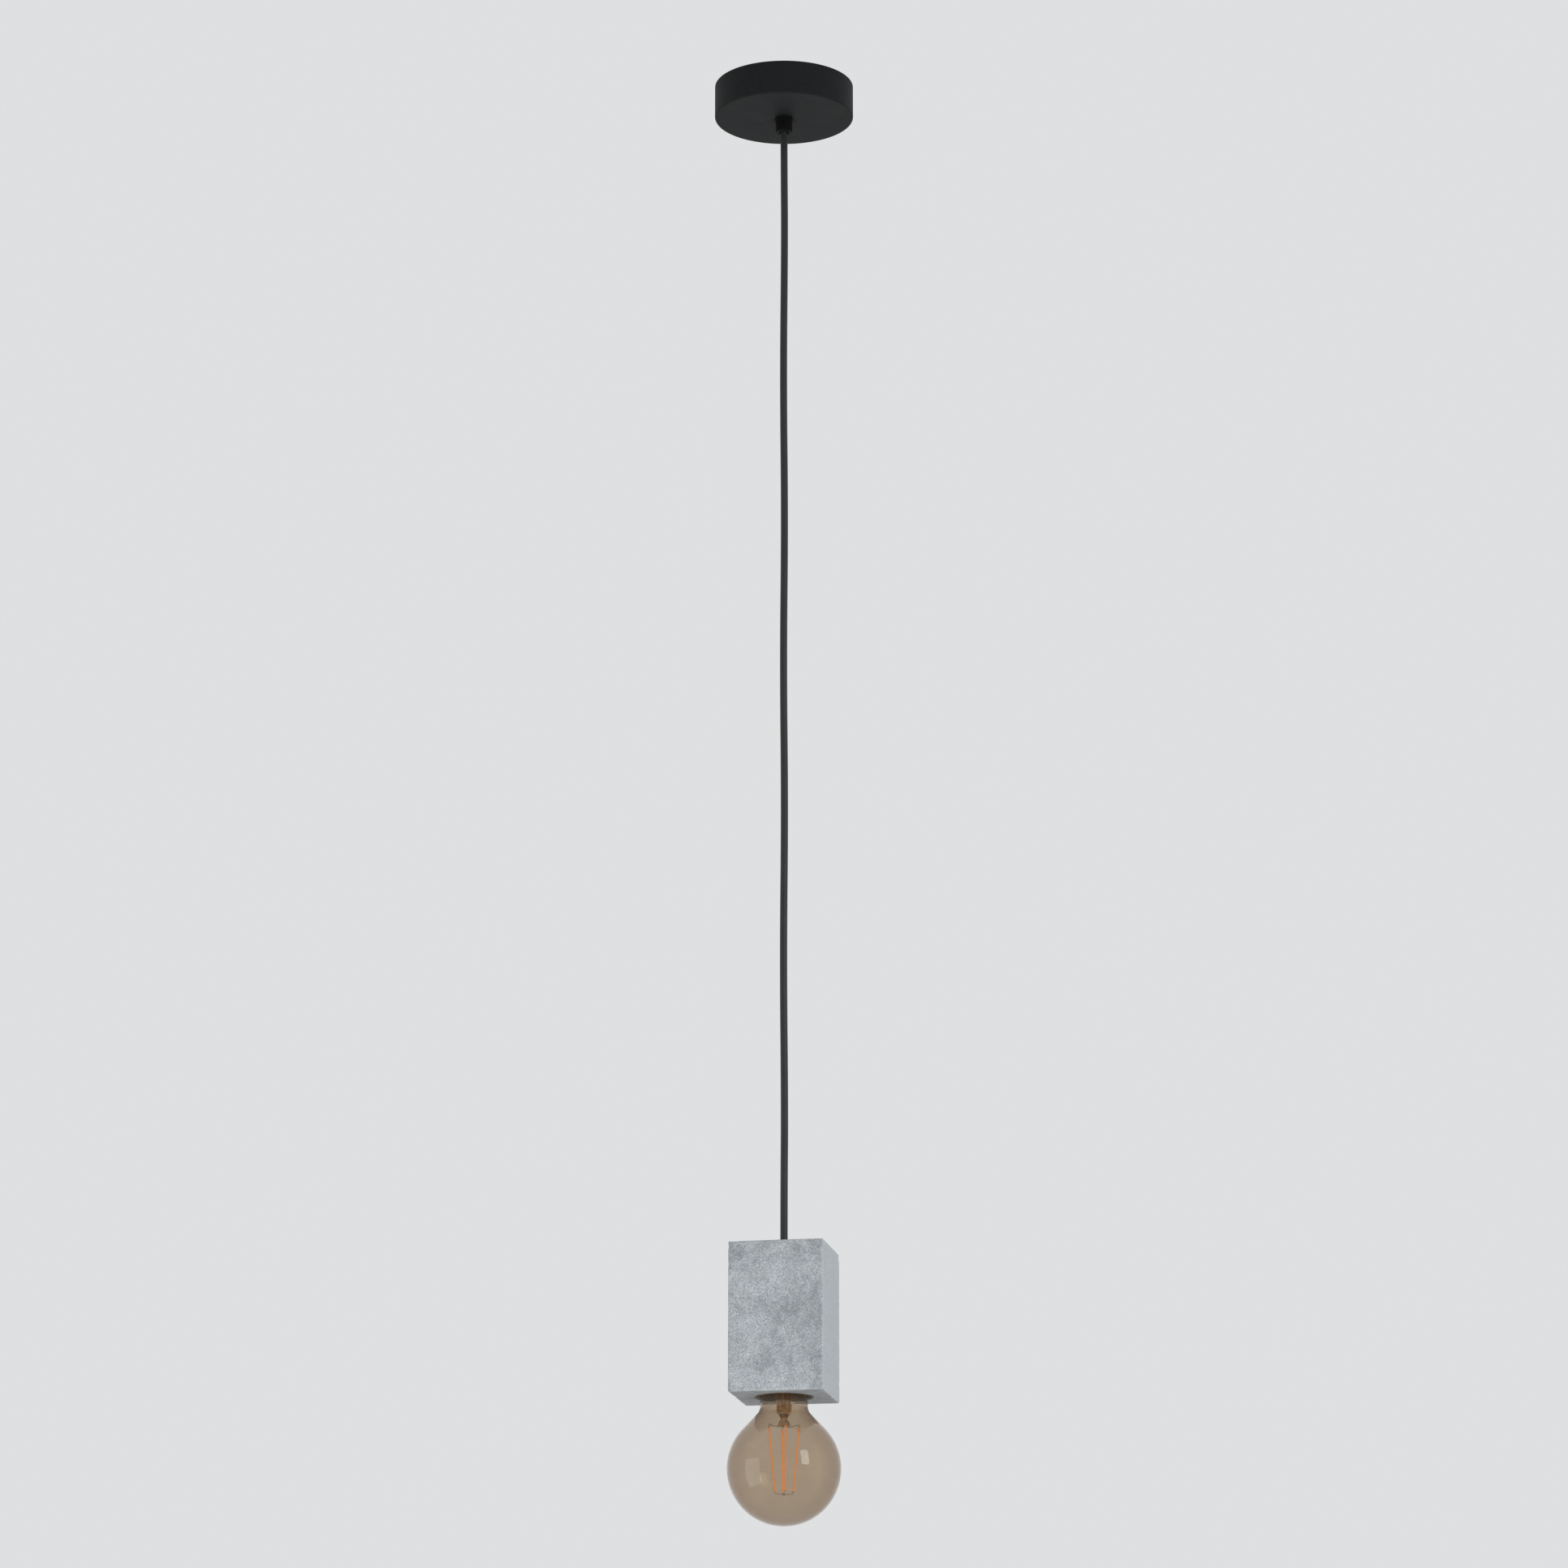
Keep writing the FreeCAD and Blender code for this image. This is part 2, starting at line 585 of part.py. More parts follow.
def terminal_barrels():
    """Brass barrels, each bored for the wires and tapped for its two screws."""
    barrels = []
    reach = Vector(TERMINAL_BARREL_LENGTH / 2, 0, 0)
    for place in barrel_places():
        barrel = pin(TERMINAL_BARREL_DIAMETER, place - reach, place + reach)
        barrel = barrel.cut(pin(TERMINAL_BARREL_BORE, place - reach * 2, place + reach * 2))
        for side in (-TERMINAL_SCREW_OFFSET, TERMINAL_SCREW_OFFSET):
            seat = place + Vector(side, 0, 0)
            tapped = TERMINAL_SCREW_DIAMETER + 2 * SHAFT_GAP
            barrel = barrel.cut(pin(tapped, seat, seat + Vector(0, TERMINAL_BARREL_DIAMETER, 0)))
        barrels.append(barrel)
    return barrels


def terminal_screws():
    """Six screws that clamp the wires. Their heads stand just off the barrels."""
    reach = TERMINAL_BARREL_DIAMETER / 2 - COPPER_DIAMETER / 2 + 0.3
    screw = slotted_pan_head(TERMINAL_SCREW_DIAMETER, TERMINAL_SCREW_HEAD, 1.6, reach, 0.6)
    return [aimed(screw, place + Vector(0, 0.3, 0), -Y) for place in terminal_screw_places()]


def terminal_block_screw():
    """Holds the terminal block to the ear, into its tapped hole."""
    front = EAR_FACE + TERMINAL_DEPTH - 2.5
    length = front - EAR_FACE + BRACKET_THICKNESS + 1
    screw = slotted_pan_head(EAR_SCREW_DIAMETER, TERMINAL_SCREW_HEAD + 0.8, 1.8, length, 0.6)
    return aimed(screw, Vector(0, front, ear_screw_level()), -Y)


def earth_screw():
    """Screwed up into the web from below, with the washer and the lug under its head."""
    seat = BRACKET_WEB_BOTTOM - STAR_WASHER_THICKNESS - LUG_THICKNESS
    length = BRACKET_WEB_TOP + 2 - seat
    screw = slotted_pan_head(EARTH_SCREW_DIAMETER, EARTH_HEAD_DIAMETER, EARTH_HEAD_HEIGHT, length, 1.0)
    screw.translate(Vector(*EARTH_PLACE, seat))
    return screw


def earth_washer():
    return toothed_washer(
        EARTH_HEAD_DIAMETER + 0.5, EARTH_SCREW_DIAMETER + 2 * SLIP_GAP,
        BRACKET_WEB_BOTTOM - STAR_WASHER_THICKNESS, STAR_WASHER_THICKNESS, 8, *EARTH_PLACE,
    )


def lug_level():
    """Middle of the lug's crimped tail."""
    return BRACKET_WEB_BOTTOM - STAR_WASHER_THICKNESS - CORE_DIAMETER / 2 - 0.4


def earth_lug():
    """Ring lug with a round crimped tail that takes the earth wire."""
    x, y = EARTH_PLACE
    top = BRACKET_WEB_BOTTOM - STAR_WASHER_THICKNESS
    eye = cylinder(LUG_DIAMETER, top - LUG_THICKNESS, top, x, y)
    neck = box((x - 1.6, y, top - LUG_THICKNESS), (x + 1.6, y + LUG_DIAMETER / 2 + 2, top))
    start = Vector(x, y + LUG_DIAMETER / 2 + 0.5, lug_level())
    end = Vector(x, y + LUG_DIAMETER / 2 + LUG_TAIL_LENGTH, lug_level())
    tail = pin(CORE_DIAMETER + 0.8, start, end)
    lug = eye.fuse(neck).fuse(tail).removeSplitter()
    wire_seat = pin(COPPER_DIAMETER + 2 * SHAFT_GAP, start + Vector(0, 1.5, 0), end + Vector(0, 1, 0))
    return lug.cut([cylinder(EARTH_SCREW_DIAMETER + 2 * SLIP_GAP, top - 3, top + 1, x, y), wire_seat])


def barrel_mouth(pole):
    """Where a wire's insulation stops, just outside its tunnel."""
    place = barrel_places()[pole]
    return (-TERMINAL_LENGTH / 2 - SEAT_GAP, place.y, place.z)


def lamp_wire_route(pole):
    """From the top of the sheath over the bracket to a pole. The neutral wire swings wider."""
    start_y = CORE_SPACING * (0.5 - pole)
    reach = -TERMINAL_LENGTH / 2 - 5.0 * (1 + pole)
    over = -WIRE_CEILING_GAP
    mouth = barrel_mouth(pole)
    return [
        (0, start_y, SHEATH_TOP), (0, start_y, over), (reach, start_y, over),
        (reach, mouth[1] - 3, over - 0.6), (reach, mouth[1], mouth[2]), mouth,
    ]


def live_wire():
    return bent_rod(lamp_wire_route(0), CORE_DIAMETER, 2.2)


def neutral_wire():
    return bent_rod(lamp_wire_route(1), CORE_DIAMETER, 2.2)


def earth_wire():
    """From the lug's tail to the lowest pole."""
    x, y = EARTH_PLACE
    mouth = barrel_mouth(2)
    start = y + LUG_DIAMETER / 2 + LUG_TAIL_LENGTH
    route_points = [
        (x, start, lug_level()), (x, start + 4, lug_level()), (x, mouth[1], mouth[2]), mouth,
    ]
    return bent_rod(route_points, CORE_DIAMETER, 3.0)


def bare_wire_ends():
    """Copper ends clamped in the three barrels, and the one in the lug."""
    ends = []
    for pole in range(POLE_COUNT):
        mouth = Vector(*barrel_mouth(pole))
        ends.append(pin(COPPER_DIAMETER, mouth, mouth + Vector(TERMINAL_SCREW_OFFSET + 2.5, 0, 0)))
    x, y = EARTH_PLACE
    tail = y + LUG_DIAMETER / 2 + LUG_TAIL_LENGTH
    ends.append(pin(COPPER_DIAMETER, Vector(x, tail - 3.5, lug_level()), Vector(x, tail, lug_level())))
    return ends


# ================================================================ cable
def ball_socket():
    """The clear space around the ball where the cable bends."""
    return Part.makeSphere(CABLE_DIAMETER / 2 + BALL_GAP, Vector(0, 0, SWING_PIVOT))


def cable_stub():
    """The cable's upper end, held in the grip. It ends above the ball, clear of the swinging cable."""
    swing_room = 0.55 * CABLE_DIAMETER / 2
    return cylinder(CABLE_DIAMETER, SWING_PIVOT + swing_room, SHEATH_TOP).cut(ball_socket())


def cable_bend():
    """The short stretch that bends in the grip's mouth, as a ball about the pivot."""
    return Part.makeSphere(CABLE_DIAMETER / 2, Vector(0, 0, SWING_PIVOT))


def hanging_cable():
    """One straight run from the grip's mouth to the block: the block's weight holds it taut."""
    return cylinder(CABLE_DIAMETER, CABLE_ENTRY, SWING_PIVOT).cut(ball_socket())


# ================================================================ concrete block and its fixing
def concrete_block():
    """Cast block with rounded edges, a bore from below and a narrow hole on up to its top."""
    half = BLOCK_SIDE / 2
    block = box((-half, -half, BLOCK_BOTTOM), (half, half, BLOCK_TOP))
    block = block.makeFillet(BLOCK_EDGE_RADIUS, block.Edges)
    bore = HOLDER_DIAMETER / 2 + BORE_GAP
    cutter = lathe(
        (0, BLOCK_BOTTOM - 1), (bore + BORE_EDGE_CHAMFER + 1, BLOCK_BOTTOM - 1),
        (bore, BLOCK_BOTTOM + BORE_EDGE_CHAMFER), (bore, BORE_CEILING), (0, BORE_CEILING),
    )
    tube_hole = cylinder(TUBE_DIAMETER + 2 * TUBE_HOLE_GAP, BORE_CEILING - 1, BLOCK_TOP + 1)
    return block.cut([cutter, tube_hole])


def block_washer():
    return ring(
        BLOCK_WASHER_DIAMETER, TUBE_DIAMETER + 2 * SLIP_GAP, BLOCK_TOP, BLOCK_TOP + BLOCK_WASHER_THICKNESS
    )


def block_nut():
    return locknut(BLOCK_TOP + BLOCK_WASHER_THICKNESS)


def holder_tube():
    """The long threaded tube from the lampholder's cap up through the block."""
    return threaded_tube(BORE_CEILING - HOLDER_NECK_HEIGHT, LOWER_TUBE_TOP)


def tube_bushing():
    """Plastic bushing that keeps the tube's edge off the cable."""
    inner = CABLE_DIAMETER / 2 + SLIP_GAP
    plug = TUBE_BORE / 2 - SHAFT_GAP
    lip = TUBE_DIAMETER / 2 - TUBE_CHAMFER
    return lathe(
        (inner, LOWER_TUBE_TOP - BUSHING_DEPTH), (plug, LOWER_TUBE_TOP - BUSHING_DEPTH),
        (plug, LOWER_TUBE_TOP), (lip, LOWER_TUBE_TOP), (lip, CABLE_ENTRY), (inner, CABLE_ENTRY),
    )


# ================================================================ lampholder
def cord_saddle_level():
    """Level where the sheath ends, just above the insert's terminals."""
    return BORE_CEILING - HOLDER_NECK_HEIGHT - 1.5


def cable_end():
    """The cable's lower end, from the bushing down to the lampholder."""
    return cylinder(CABLE_DIAMETER, cord_saddle_level(), CABLE_ENTRY)


def holder_cap():
    """Domed cap that screws onto the threaded tube and covers the terminals."""
    outer = HOLDER_DIAMETER / 2
    neck = HOLDER_NECK_DIAMETER / 2
    thread = TUBE_DIAMETER / 2 + SHAFT_GAP
    neck_low = BORE_CEILING - HOLDER_NECK_HEIGHT
    passage = CABLE_DIAMETER / 2 + SLIP_GAP
    dome = outer - neck
    shoulder = BORE_CEILING - 3.0
    lean = math.sqrt(0.5)
    round_mid = (neck + dome * lean, shoulder - dome * (1 - lean))
    inner_round = dome - HOLDER_WALL
    inner_mid = (neck + inner_round * lean, shoulder - HOLDER_WALL - inner_round * (1 - lean))
    return lathe(
        (thread, BORE_CEILING), (neck, BORE_CEILING), (neck, shoulder),
        (round_mid, (outer, shoulder - dome)), (outer, HOLDER_SPLIT),
        (outer - HOLDER_WALL, HOLDER_SPLIT), (outer - HOLDER_WALL, shoulder - HOLDER_WALL - inner_round),
        (inner_mid, (neck, shoulder - HOLDER_WALL)), (neck, neck_low - 2.0),
        (passage, neck_low - 2.0), (passage, neck_low), (thread, neck_low),
    )


def holder_shell():
    """Ribbed outer shell. It screws to the cap and ends in the rim round the bulb's cap."""
    outer = HOLDER_DIAMETER / 2
    inner = outer - HOLDER_WALL
    mouth = HOLDER_MOUTH_DIAMETER / 2
    shell = lathe(
        (mouth, HOLDER_RIM), (outer - 0.8, HOLDER_RIM), (outer, HOLDER_RIM + 0.8),
        (outer, HOLDER_SPLIT), (inner, HOLDER_SPLIT), (inner, HOLDER_RIM + HOLDER_RIM_THICKNESS),
        (mouth, HOLDER_RIM + HOLDER_RIM_THICKNESS),
    )
    groove = cylinder(RIB_DIAMETER, HOLDER_RIM + 3.0, HOLDER_SPLIT - 3.0, outer + 0.1)
    return shell.cut(around(RIB_COUNT, groove))


def insert_places():
    """Where the two terminals stand on the insert's top face."""
    return [Vector(side * TERMINAL_OFFSET, 0, INSERT_TOP) for side in (1, -1)]


def holder_insert():
    """Porcelain insert that carries the contacts, inside the shell and the cap."""
    outer = HOLDER_DIAMETER / 2 - HOLDER_WALL - SHAFT_GAP
    body = cylinder(2 * outer, INSERT_BOTTOM, INSERT_TOP)
    cuts = [cylinder(RIVET_DIAMETER + 2 * SHAFT_GAP, INSERT_BOTTOM - 1, INSERT_TOP + 1)]
    for place in insert_places():
        hole = HOLDER_SCREW_DIAMETER + 2 * SHAFT_GAP
        cuts.append(cylinder(hole, INSERT_TOP - HOLDER_SCREW_DEPTH, INSERT_TOP + 1, place.x, place.y))
    return body.cut(cuts)


def holder_terminal_screws():
    """The two screws that clamp the wires on the insert, each with the wire under its head."""
    clamped = TERMINAL_PLATE_THICKNESS + COPPER_DIAMETER
    screw = slotted_pan_head(
        HOLDER_SCREW_DIAMETER, HOLDER_SCREW_HEAD, 2.0, clamped + HOLDER_SCREW_DEPTH - 0.5, 0.8
    )
    return [aimed(screw, place + Vector(0, 0, clamped), -UP) for place in insert_places()]


def holder_terminal_plates():
    """Brass plates under the terminal screws."""
    plates = []
    top = INSERT_TOP + TERMINAL_PLATE_THICKNESS
    half = TERMINAL_PLATE_WIDTH / 2
    for place in insert_places():
        plate = box((place.x - half, place.y - half, INSERT_TOP), (place.x + half, place.y + half, top))
        hole = HOLDER_SCREW_DIAMETER + 2 * SHAFT_GAP
        plates.append(plate.cut(cylinder(hole, INSERT_TOP - 1, top + 1, place.x, place.y)))
    return plates


def holder_sleeve():
    """Brass Edison sleeve with its inward thread, hung under the insert."""
    inner = SLEEVE_INNER_DIAMETER
    sleeve_bottom = SLEEVE_TOP - SLEEVE_LENGTH
    wall = ring(inner + 2 * SLEEVE_WALL, inner, sleeve_bottom, SLEEVE_TOP)
    start = sleeve_bottom + RIDGE_BASE / 2 + THREAD_RUNOUT
    ridge = helical_ridge(inner, SLEEVE_CREST_DIAMETER, start, SLEEVE_TURNS)
    turns_apart = (start - cap_thread_bottom()) / PITCH - 0.5
    ridge.rotate(ORIGIN, UP, 360 * turns_apart)
    return wall.fuse(ridge)


def cap_thread_bottom():
    """Where the bulb's thread starts. The holder's lies half a pitch from it all the way."""
    return SHELL_TOP - RIDGE_BASE / 2 - THREAD_RUNOUT - PITCH * CAP_TURNS


def centre_contact():
    """Brass spring tongue: riveted through the insert and bowed down onto the bulb's tip."""
    thickness = CONTACT_THICKNESS
    rivet = cylinder(RIVET_DIAMETER, INSERT_BOTTOM, INSERT_TOP + 0.6)
    head = cylinder(RIVET_DIAMETER + 2.0, INSERT_BOTTOM - thickness, INSERT_BOTTOM)
    side = -CONTACT_WIDTH / 2
    upper = INSERT_BOTTOM - thickness
    tongue = prism(
        [
            (0, side, upper), (6.5, side, upper), (7.5, side, upper - thickness), (3.5, side, BULB_TIP),
            (-2.5, side, BULB_TIP), (-2.5, side, BULB_TIP + thickness), (3.2, side, BULB_TIP + thickness),
            (6.0, side, upper - thickness * 0.9), (0, side, upper - thickness * 0.9),
        ],
        Vector(0, CONTACT_WIDTH, 0),
    )
    return rivet.fuse(head).fuse(tongue).removeSplitter()


def holder_wire_end(side):
    """Where the insulation of a lampholder wire stops, beside its terminal plate."""
    x = side * (TERMINAL_OFFSET - HOLDER_SCREW_DIAMETER / 2 - COPPER_DIAMETER / 2 - 0.1)
    y = side * (TERMINAL_PLATE_WIDTH / 2 + 0.8)
    return x, y, INSERT_TOP + TERMINAL_PLATE_THICKNESS + COPPER_DIAMETER / 2


def holder_wire(side):
    """From the sheath's end round to a terminal, which it meets along Y."""
    top = cord_saddle_level()
    x, y, z = holder_wire_end(side)
    across = side * CORE_SPACING / 2
    return bent_rod(
        [(across, 0, top), (across, 0, top - 3.0), (x, y + side * 4.5, z), (x, y, z)], CORE_DIAMETER, 2.5
    )


def holder_wire_ends():
    """Copper ends clamped under the two terminal screws."""
    ends = []
    for side in (1, -1):
        start = Vector(*holder_wire_end(side))
        ends.append(pin(COPPER_DIAMETER, start, start - Vector(0, side * TERMINAL_PLATE_WIDTH, 0)))
    return ends


# ================================================================ bulb
def bulb_outline(inset):
    """The glass outline's key points, moved in by an inset: neck, fillet, cone and globe."""
    lean = math.radians(BULB_CONE_ANGLE)
    out = (math.cos(lean), math.sin(lean))
    globe = BULB_DIAMETER / 2 - inset
    neck = BULB_NECK_DIAMETER / 2 - inset
    fillet = BULB_NECK_FILLET + inset
    middle_r = neck + fillet
    middle_z = BULB_CENTRE + (globe + fillet - out[0] * middle_r) / out[1]
    halfway = (math.cos(lean / 2), math.sin(lean / 2))
    low = math.radians(-90 + BULB_CONE_ANGLE) / 2
    return {
        "neck": (neck, middle_z),
        "fillet_middle": (middle_r - fillet * halfway[0], middle_z - fillet * halfway[1]),
        "fillet_end": (middle_r - fillet * out[0], middle_z - fillet * out[1]),
        "cone_end": (globe * out[0], BULB_CENTRE + globe * out[1]),
        "globe_middle": (globe * math.cos(low), BULB_CENTRE + globe * math.sin(low)),
        "bottom": (0, BULB_CENTRE - globe),
    }


def glass_top(inset):
    """The narrow end inside the cap, and the shoulder down to the neck."""
    narrow = GLASS_IN_CAP_DIAMETER / 2 - inset
    neck = BULB_NECK_DIAMETER / 2 - inset
    top = CAP_RIM + GLASS_IN_CAP
    return (narrow, top), (narrow, CAP_RIM + SHOULDER_RISE), (neck, CAP_RIM - SHOULDER_DROP)


def bulb_glass():
    """Blown globe of even wall, open at its narrow end."""
    outside = bulb_outline(0)
    inside = bulb_outline(GLASS_WALL)
    top, rim, shoulder = glass_top(0)
    top_in, rim_in, shoulder_in = glass_top(GLASS_WALL)
    return lathe(
        top, rim, shoulder, outside["neck"],
        (outside["fillet_middle"], outside["fillet_end"]), outside["cone_end"],
        (outside["globe_middle"], outside["bottom"]), inside["bottom"],
        (inside["globe_middle"], inside["cone_end"]), inside["fillet_end"],
        (inside["fillet_middle"], inside["neck"]), shoulder_in, rim_in, top_in,
    )


def bulb_cap():
    """Screw shell with its outward thread, and a plain skirt that closes on the glass."""
    root = CAP_ROOT_DIAMETER / 2
    inner = root - CAP_WALL
    skirt = CAP_SKIRT_DIAMETER / 2
    skirt_top = CAP_RIM + CAP_SKIRT_LENGTH
    flare = skirt_top - CAP_SKIRT_FLARE
    shell = lathe(
        (inner, SHELL_TOP), (root, SHELL_TOP), (root, skirt_top), (skirt, flare),
        (skirt, CAP_RIM), (skirt - CAP_WALL, CAP_RIM), (skirt - CAP_WALL, flare - THREAD_RUNOUT),
        (inner, skirt_top - THREAD_RUNOUT),
    )
    ridge = helical_ridge(CAP_ROOT_DIAMETER, CAP_CREST_DIAMETER, cap_thread_bottom(), CAP_TURNS)
    return shell.fuse(ridge)


def bulb_cap_cement():
    """Cement in the skirt, between the shell and the glass's narrow end."""
    top = CAP_RIM + CAP_SKIRT_LENGTH - CAP_SKIRT_FLARE - THREAD_RUNOUT
    return ring(CAP_SKIRT_DIAMETER - 2 * CAP_WALL, GLASS_IN_CAP_DIAMETER, CAP_RIM + SHOULDER_RISE, top)


def cap_insulator():
    """Black glass cone between the shell and the tip."""
    root = CAP_ROOT_DIAMETER / 2 - CAP_WALL
    tip = TIP_DIAMETER / 2
    top = BULB_TIP - TIP_HEIGHT
    hole = TIP_RIVET_DIAMETER / 2 + SHAFT_GAP
    return lathe(
        (hole, INSULATOR_BOTTOM), (root, INSULATOR_BOTTOM), (root, SHELL_TOP),
        (root + CAP_WALL, SHELL_TOP), (tip, top), (hole, top),
    )


def bulb_tip():
    """Contact button, with a rivet down through the insulator."""
    radius = TIP_DIAMETER / 2
    low = BULB_TIP - TIP_HEIGHT
    button = lathe((0, low), (radius, low), (radius, low + 0.5), (radius * 0.55, BULB_TIP), (0, BULB_TIP))
    return button.fuse(cylinder(TIP_RIVET_DIAMETER, INSULATOR_BOTTOM, low)).removeSplitter()


def stem_levels():
    """The stem's lower end, its waist, and where it reaches full width."""
    end = BULB_TIP - STEM_END_DROP
    return end, end + STEM_WAIST_RISE, end + STEM_TUBE_RISE


def glass_stem():
    """Flared glass mount: sealed to the glass's narrow end above, pinched and buttoned below."""
    end, waist, full = stem_levels()
    tube = STEM_DIAMETER / 2
    bore = tube - STEM_WALL
    waist_radius = STEM_WAIST_DIAMETER / 2
    button = STEM_END_DIAMETER / 2
    flare = GLASS_IN_CAP_DIAMETER / 2 - GLASS_WALL - BALL_GAP
    flare_foot = GLASS_TOP - STEM_FLARE_HEIGHT
    flare_mid = (tube + 0.22 * (flare - tube), GLASS_TOP - 0.42 * STEM_FLARE_HEIGHT)
    return lathe(
        (0, end), (button - 0.6, end), (button, end + 0.8),
        ((waist_radius + 0.6, end + 3.0), (waist_radius, waist)),
        ((waist_radius + 0.9, waist + 3.2), (tube, full)),
        (tube, flare_foot), (flare_mid, (flare, GLASS_TOP - 0.6)), (flare, GLASS_TOP),
        (flare - STEM_WALL, GLASS_TOP),
        ((flare_mid[0] - STEM_WALL, flare_mid[1] + 0.2), (bore, flare_foot)),
        (bore, full + 0.5), (0, full - 1.0),
    )


def exhaust_tube():
    """Thin tube inside the stem, by which the bulb was filled with gas and sealed."""
    full = stem_levels()[2]
    return ring(EXHAUST_DIAMETER, EXHAUST_DIAMETER - 1.4, full + 0.6, GLASS_TOP - 1.0)


def filament_ends(step):
    """Upper and lower end of one filament."""
    turn = math.radians(-90 + FILAMENT_PHASE + 360 * step / FILAMENT_COUNT)
    across = Vector(math.cos(turn), math.sin(turn), 0)
    top_level = Vector(0, 0, BULB_TIP - FILAMENT_TOP_DROP)
    foot_level = top_level - Vector(0, 0, FILAMENT_HEIGHT)
    return across * FILAMENT_TOP_RADIUS + top_level, across * FILAMENT_FOOT_RADIUS + foot_level


def led_filament(step):
    """One straight filament between its two ferrules."""
    top, foot = filament_ends(step)
    along = (foot - top).normalize()
    return pin(FILAMENT_DIAMETER, top + along * FERRULE_LENGTH, foot - along * FERRULE_LENGTH)


def filament_ferrules():
    """Metal ends of all the filaments."""
    ferrules = []
    for step in range(FILAMENT_COUNT):
        top, foot = filament_ends(step)
        along = (foot - top).normalize() * FERRULE_LENGTH
        ferrules += [pin(FERRULE_DIAMETER, top, top + along), pin(FERRULE_DIAMETER, foot - along, foot)]
    return ferrules


def filament_hangers():
    """Wires from the stem's end out to the top of each filament."""
    hangers = []
    end = stem_levels()[0]
    for step in range(FILAMENT_COUNT):
        top, foot = filament_ends(step)
        along = (foot - top).normalize()
        across = Vector(top.x, top.y, 0).normalize()
        root = across * 2.6 + Vector(0, 0, end)
        over = top - along * 1.6
        hangers.append(bent_rod([root, root - UP * 1.2, over, top], SUPPORT_WIRE_DIAMETER, 0.8))
    return hangers


def filament_bridge():
    """Wires from the filaments' lower ends to the knot on the axis."""
    foot_level = BULB_TIP - FILAMENT_TOP_DROP - FILAMENT_HEIGHT
    knot = Vector(0, 0, foot_level - 1.6)
    bridge = Part.makeSphere(0.9, knot)
    for step in range(FILAMENT_COUNT):
        top, foot = filament_ends(step)
        along = (foot - top).normalize()
        bridge = bridge.fuse(bent_rod([foot, foot + along * 1.2, knot], SUPPORT_WIRE_DIAMETER, 0.5))
    return bridge.removeSplitter()


def driver_box():
    """Half the driver board's width, and its lower and upper edge."""
    half = CAP_ROOT_DIAMETER / 2 - CAP_WALL - SEAT_GAP
    return half, GLASS_TOP + SEAT_GAP, INSULATOR_BOTTOM - SEAT_GAP


def driver_board():
    """Circuit board that stands on edge across the cap, under the insulator."""
    half, low, high = driver_box()
    return box((-half, -DRIVER_THICKNESS / 2, low), (half, DRIVER_THICKNESS / 2, high))


def driver_components():
    """A capacitor, a bridge rectifier and a choke, soldered to the board's two faces."""
    face = DRIVER_THICKNESS / 2
    middle = (driver_box()[1] + driver_box()[2]) / 2
    across = Vector(CAPACITOR_SIZE[1] / 2, 0, 0)
    seat = Vector(-2.0, face + CAPACITOR_SIZE[0] / 2, middle)
    rectifier = box((-5.0, -face - 2.2, middle - 2.2), (0.5, -face, middle + 2.2))
    choke = pin(4.2, Vector(4.5, -face, middle), Vector(4.5, -face - 3.6, middle))
    return [pin(CAPACITOR_SIZE[0], seat - across, seat + across), rectifier, choke]


def bulb_leads():
    """Wires from the driver board down the stem, and one up to the tip."""
    low = driver_box()[1]
    foot = stem_levels()[2] + 1.2
    leads = [pin(0.8, Vector(0, 0, driver_box()[2]), Vector(0, 0, INSULATOR_BOTTOM))]
    for side in (-1, 1):
        x = side * LEAD_SPACING / 2
        leads.append(pin(0.6, Vector(x, 0, foot), Vector(x, 0, low)))
    return leads


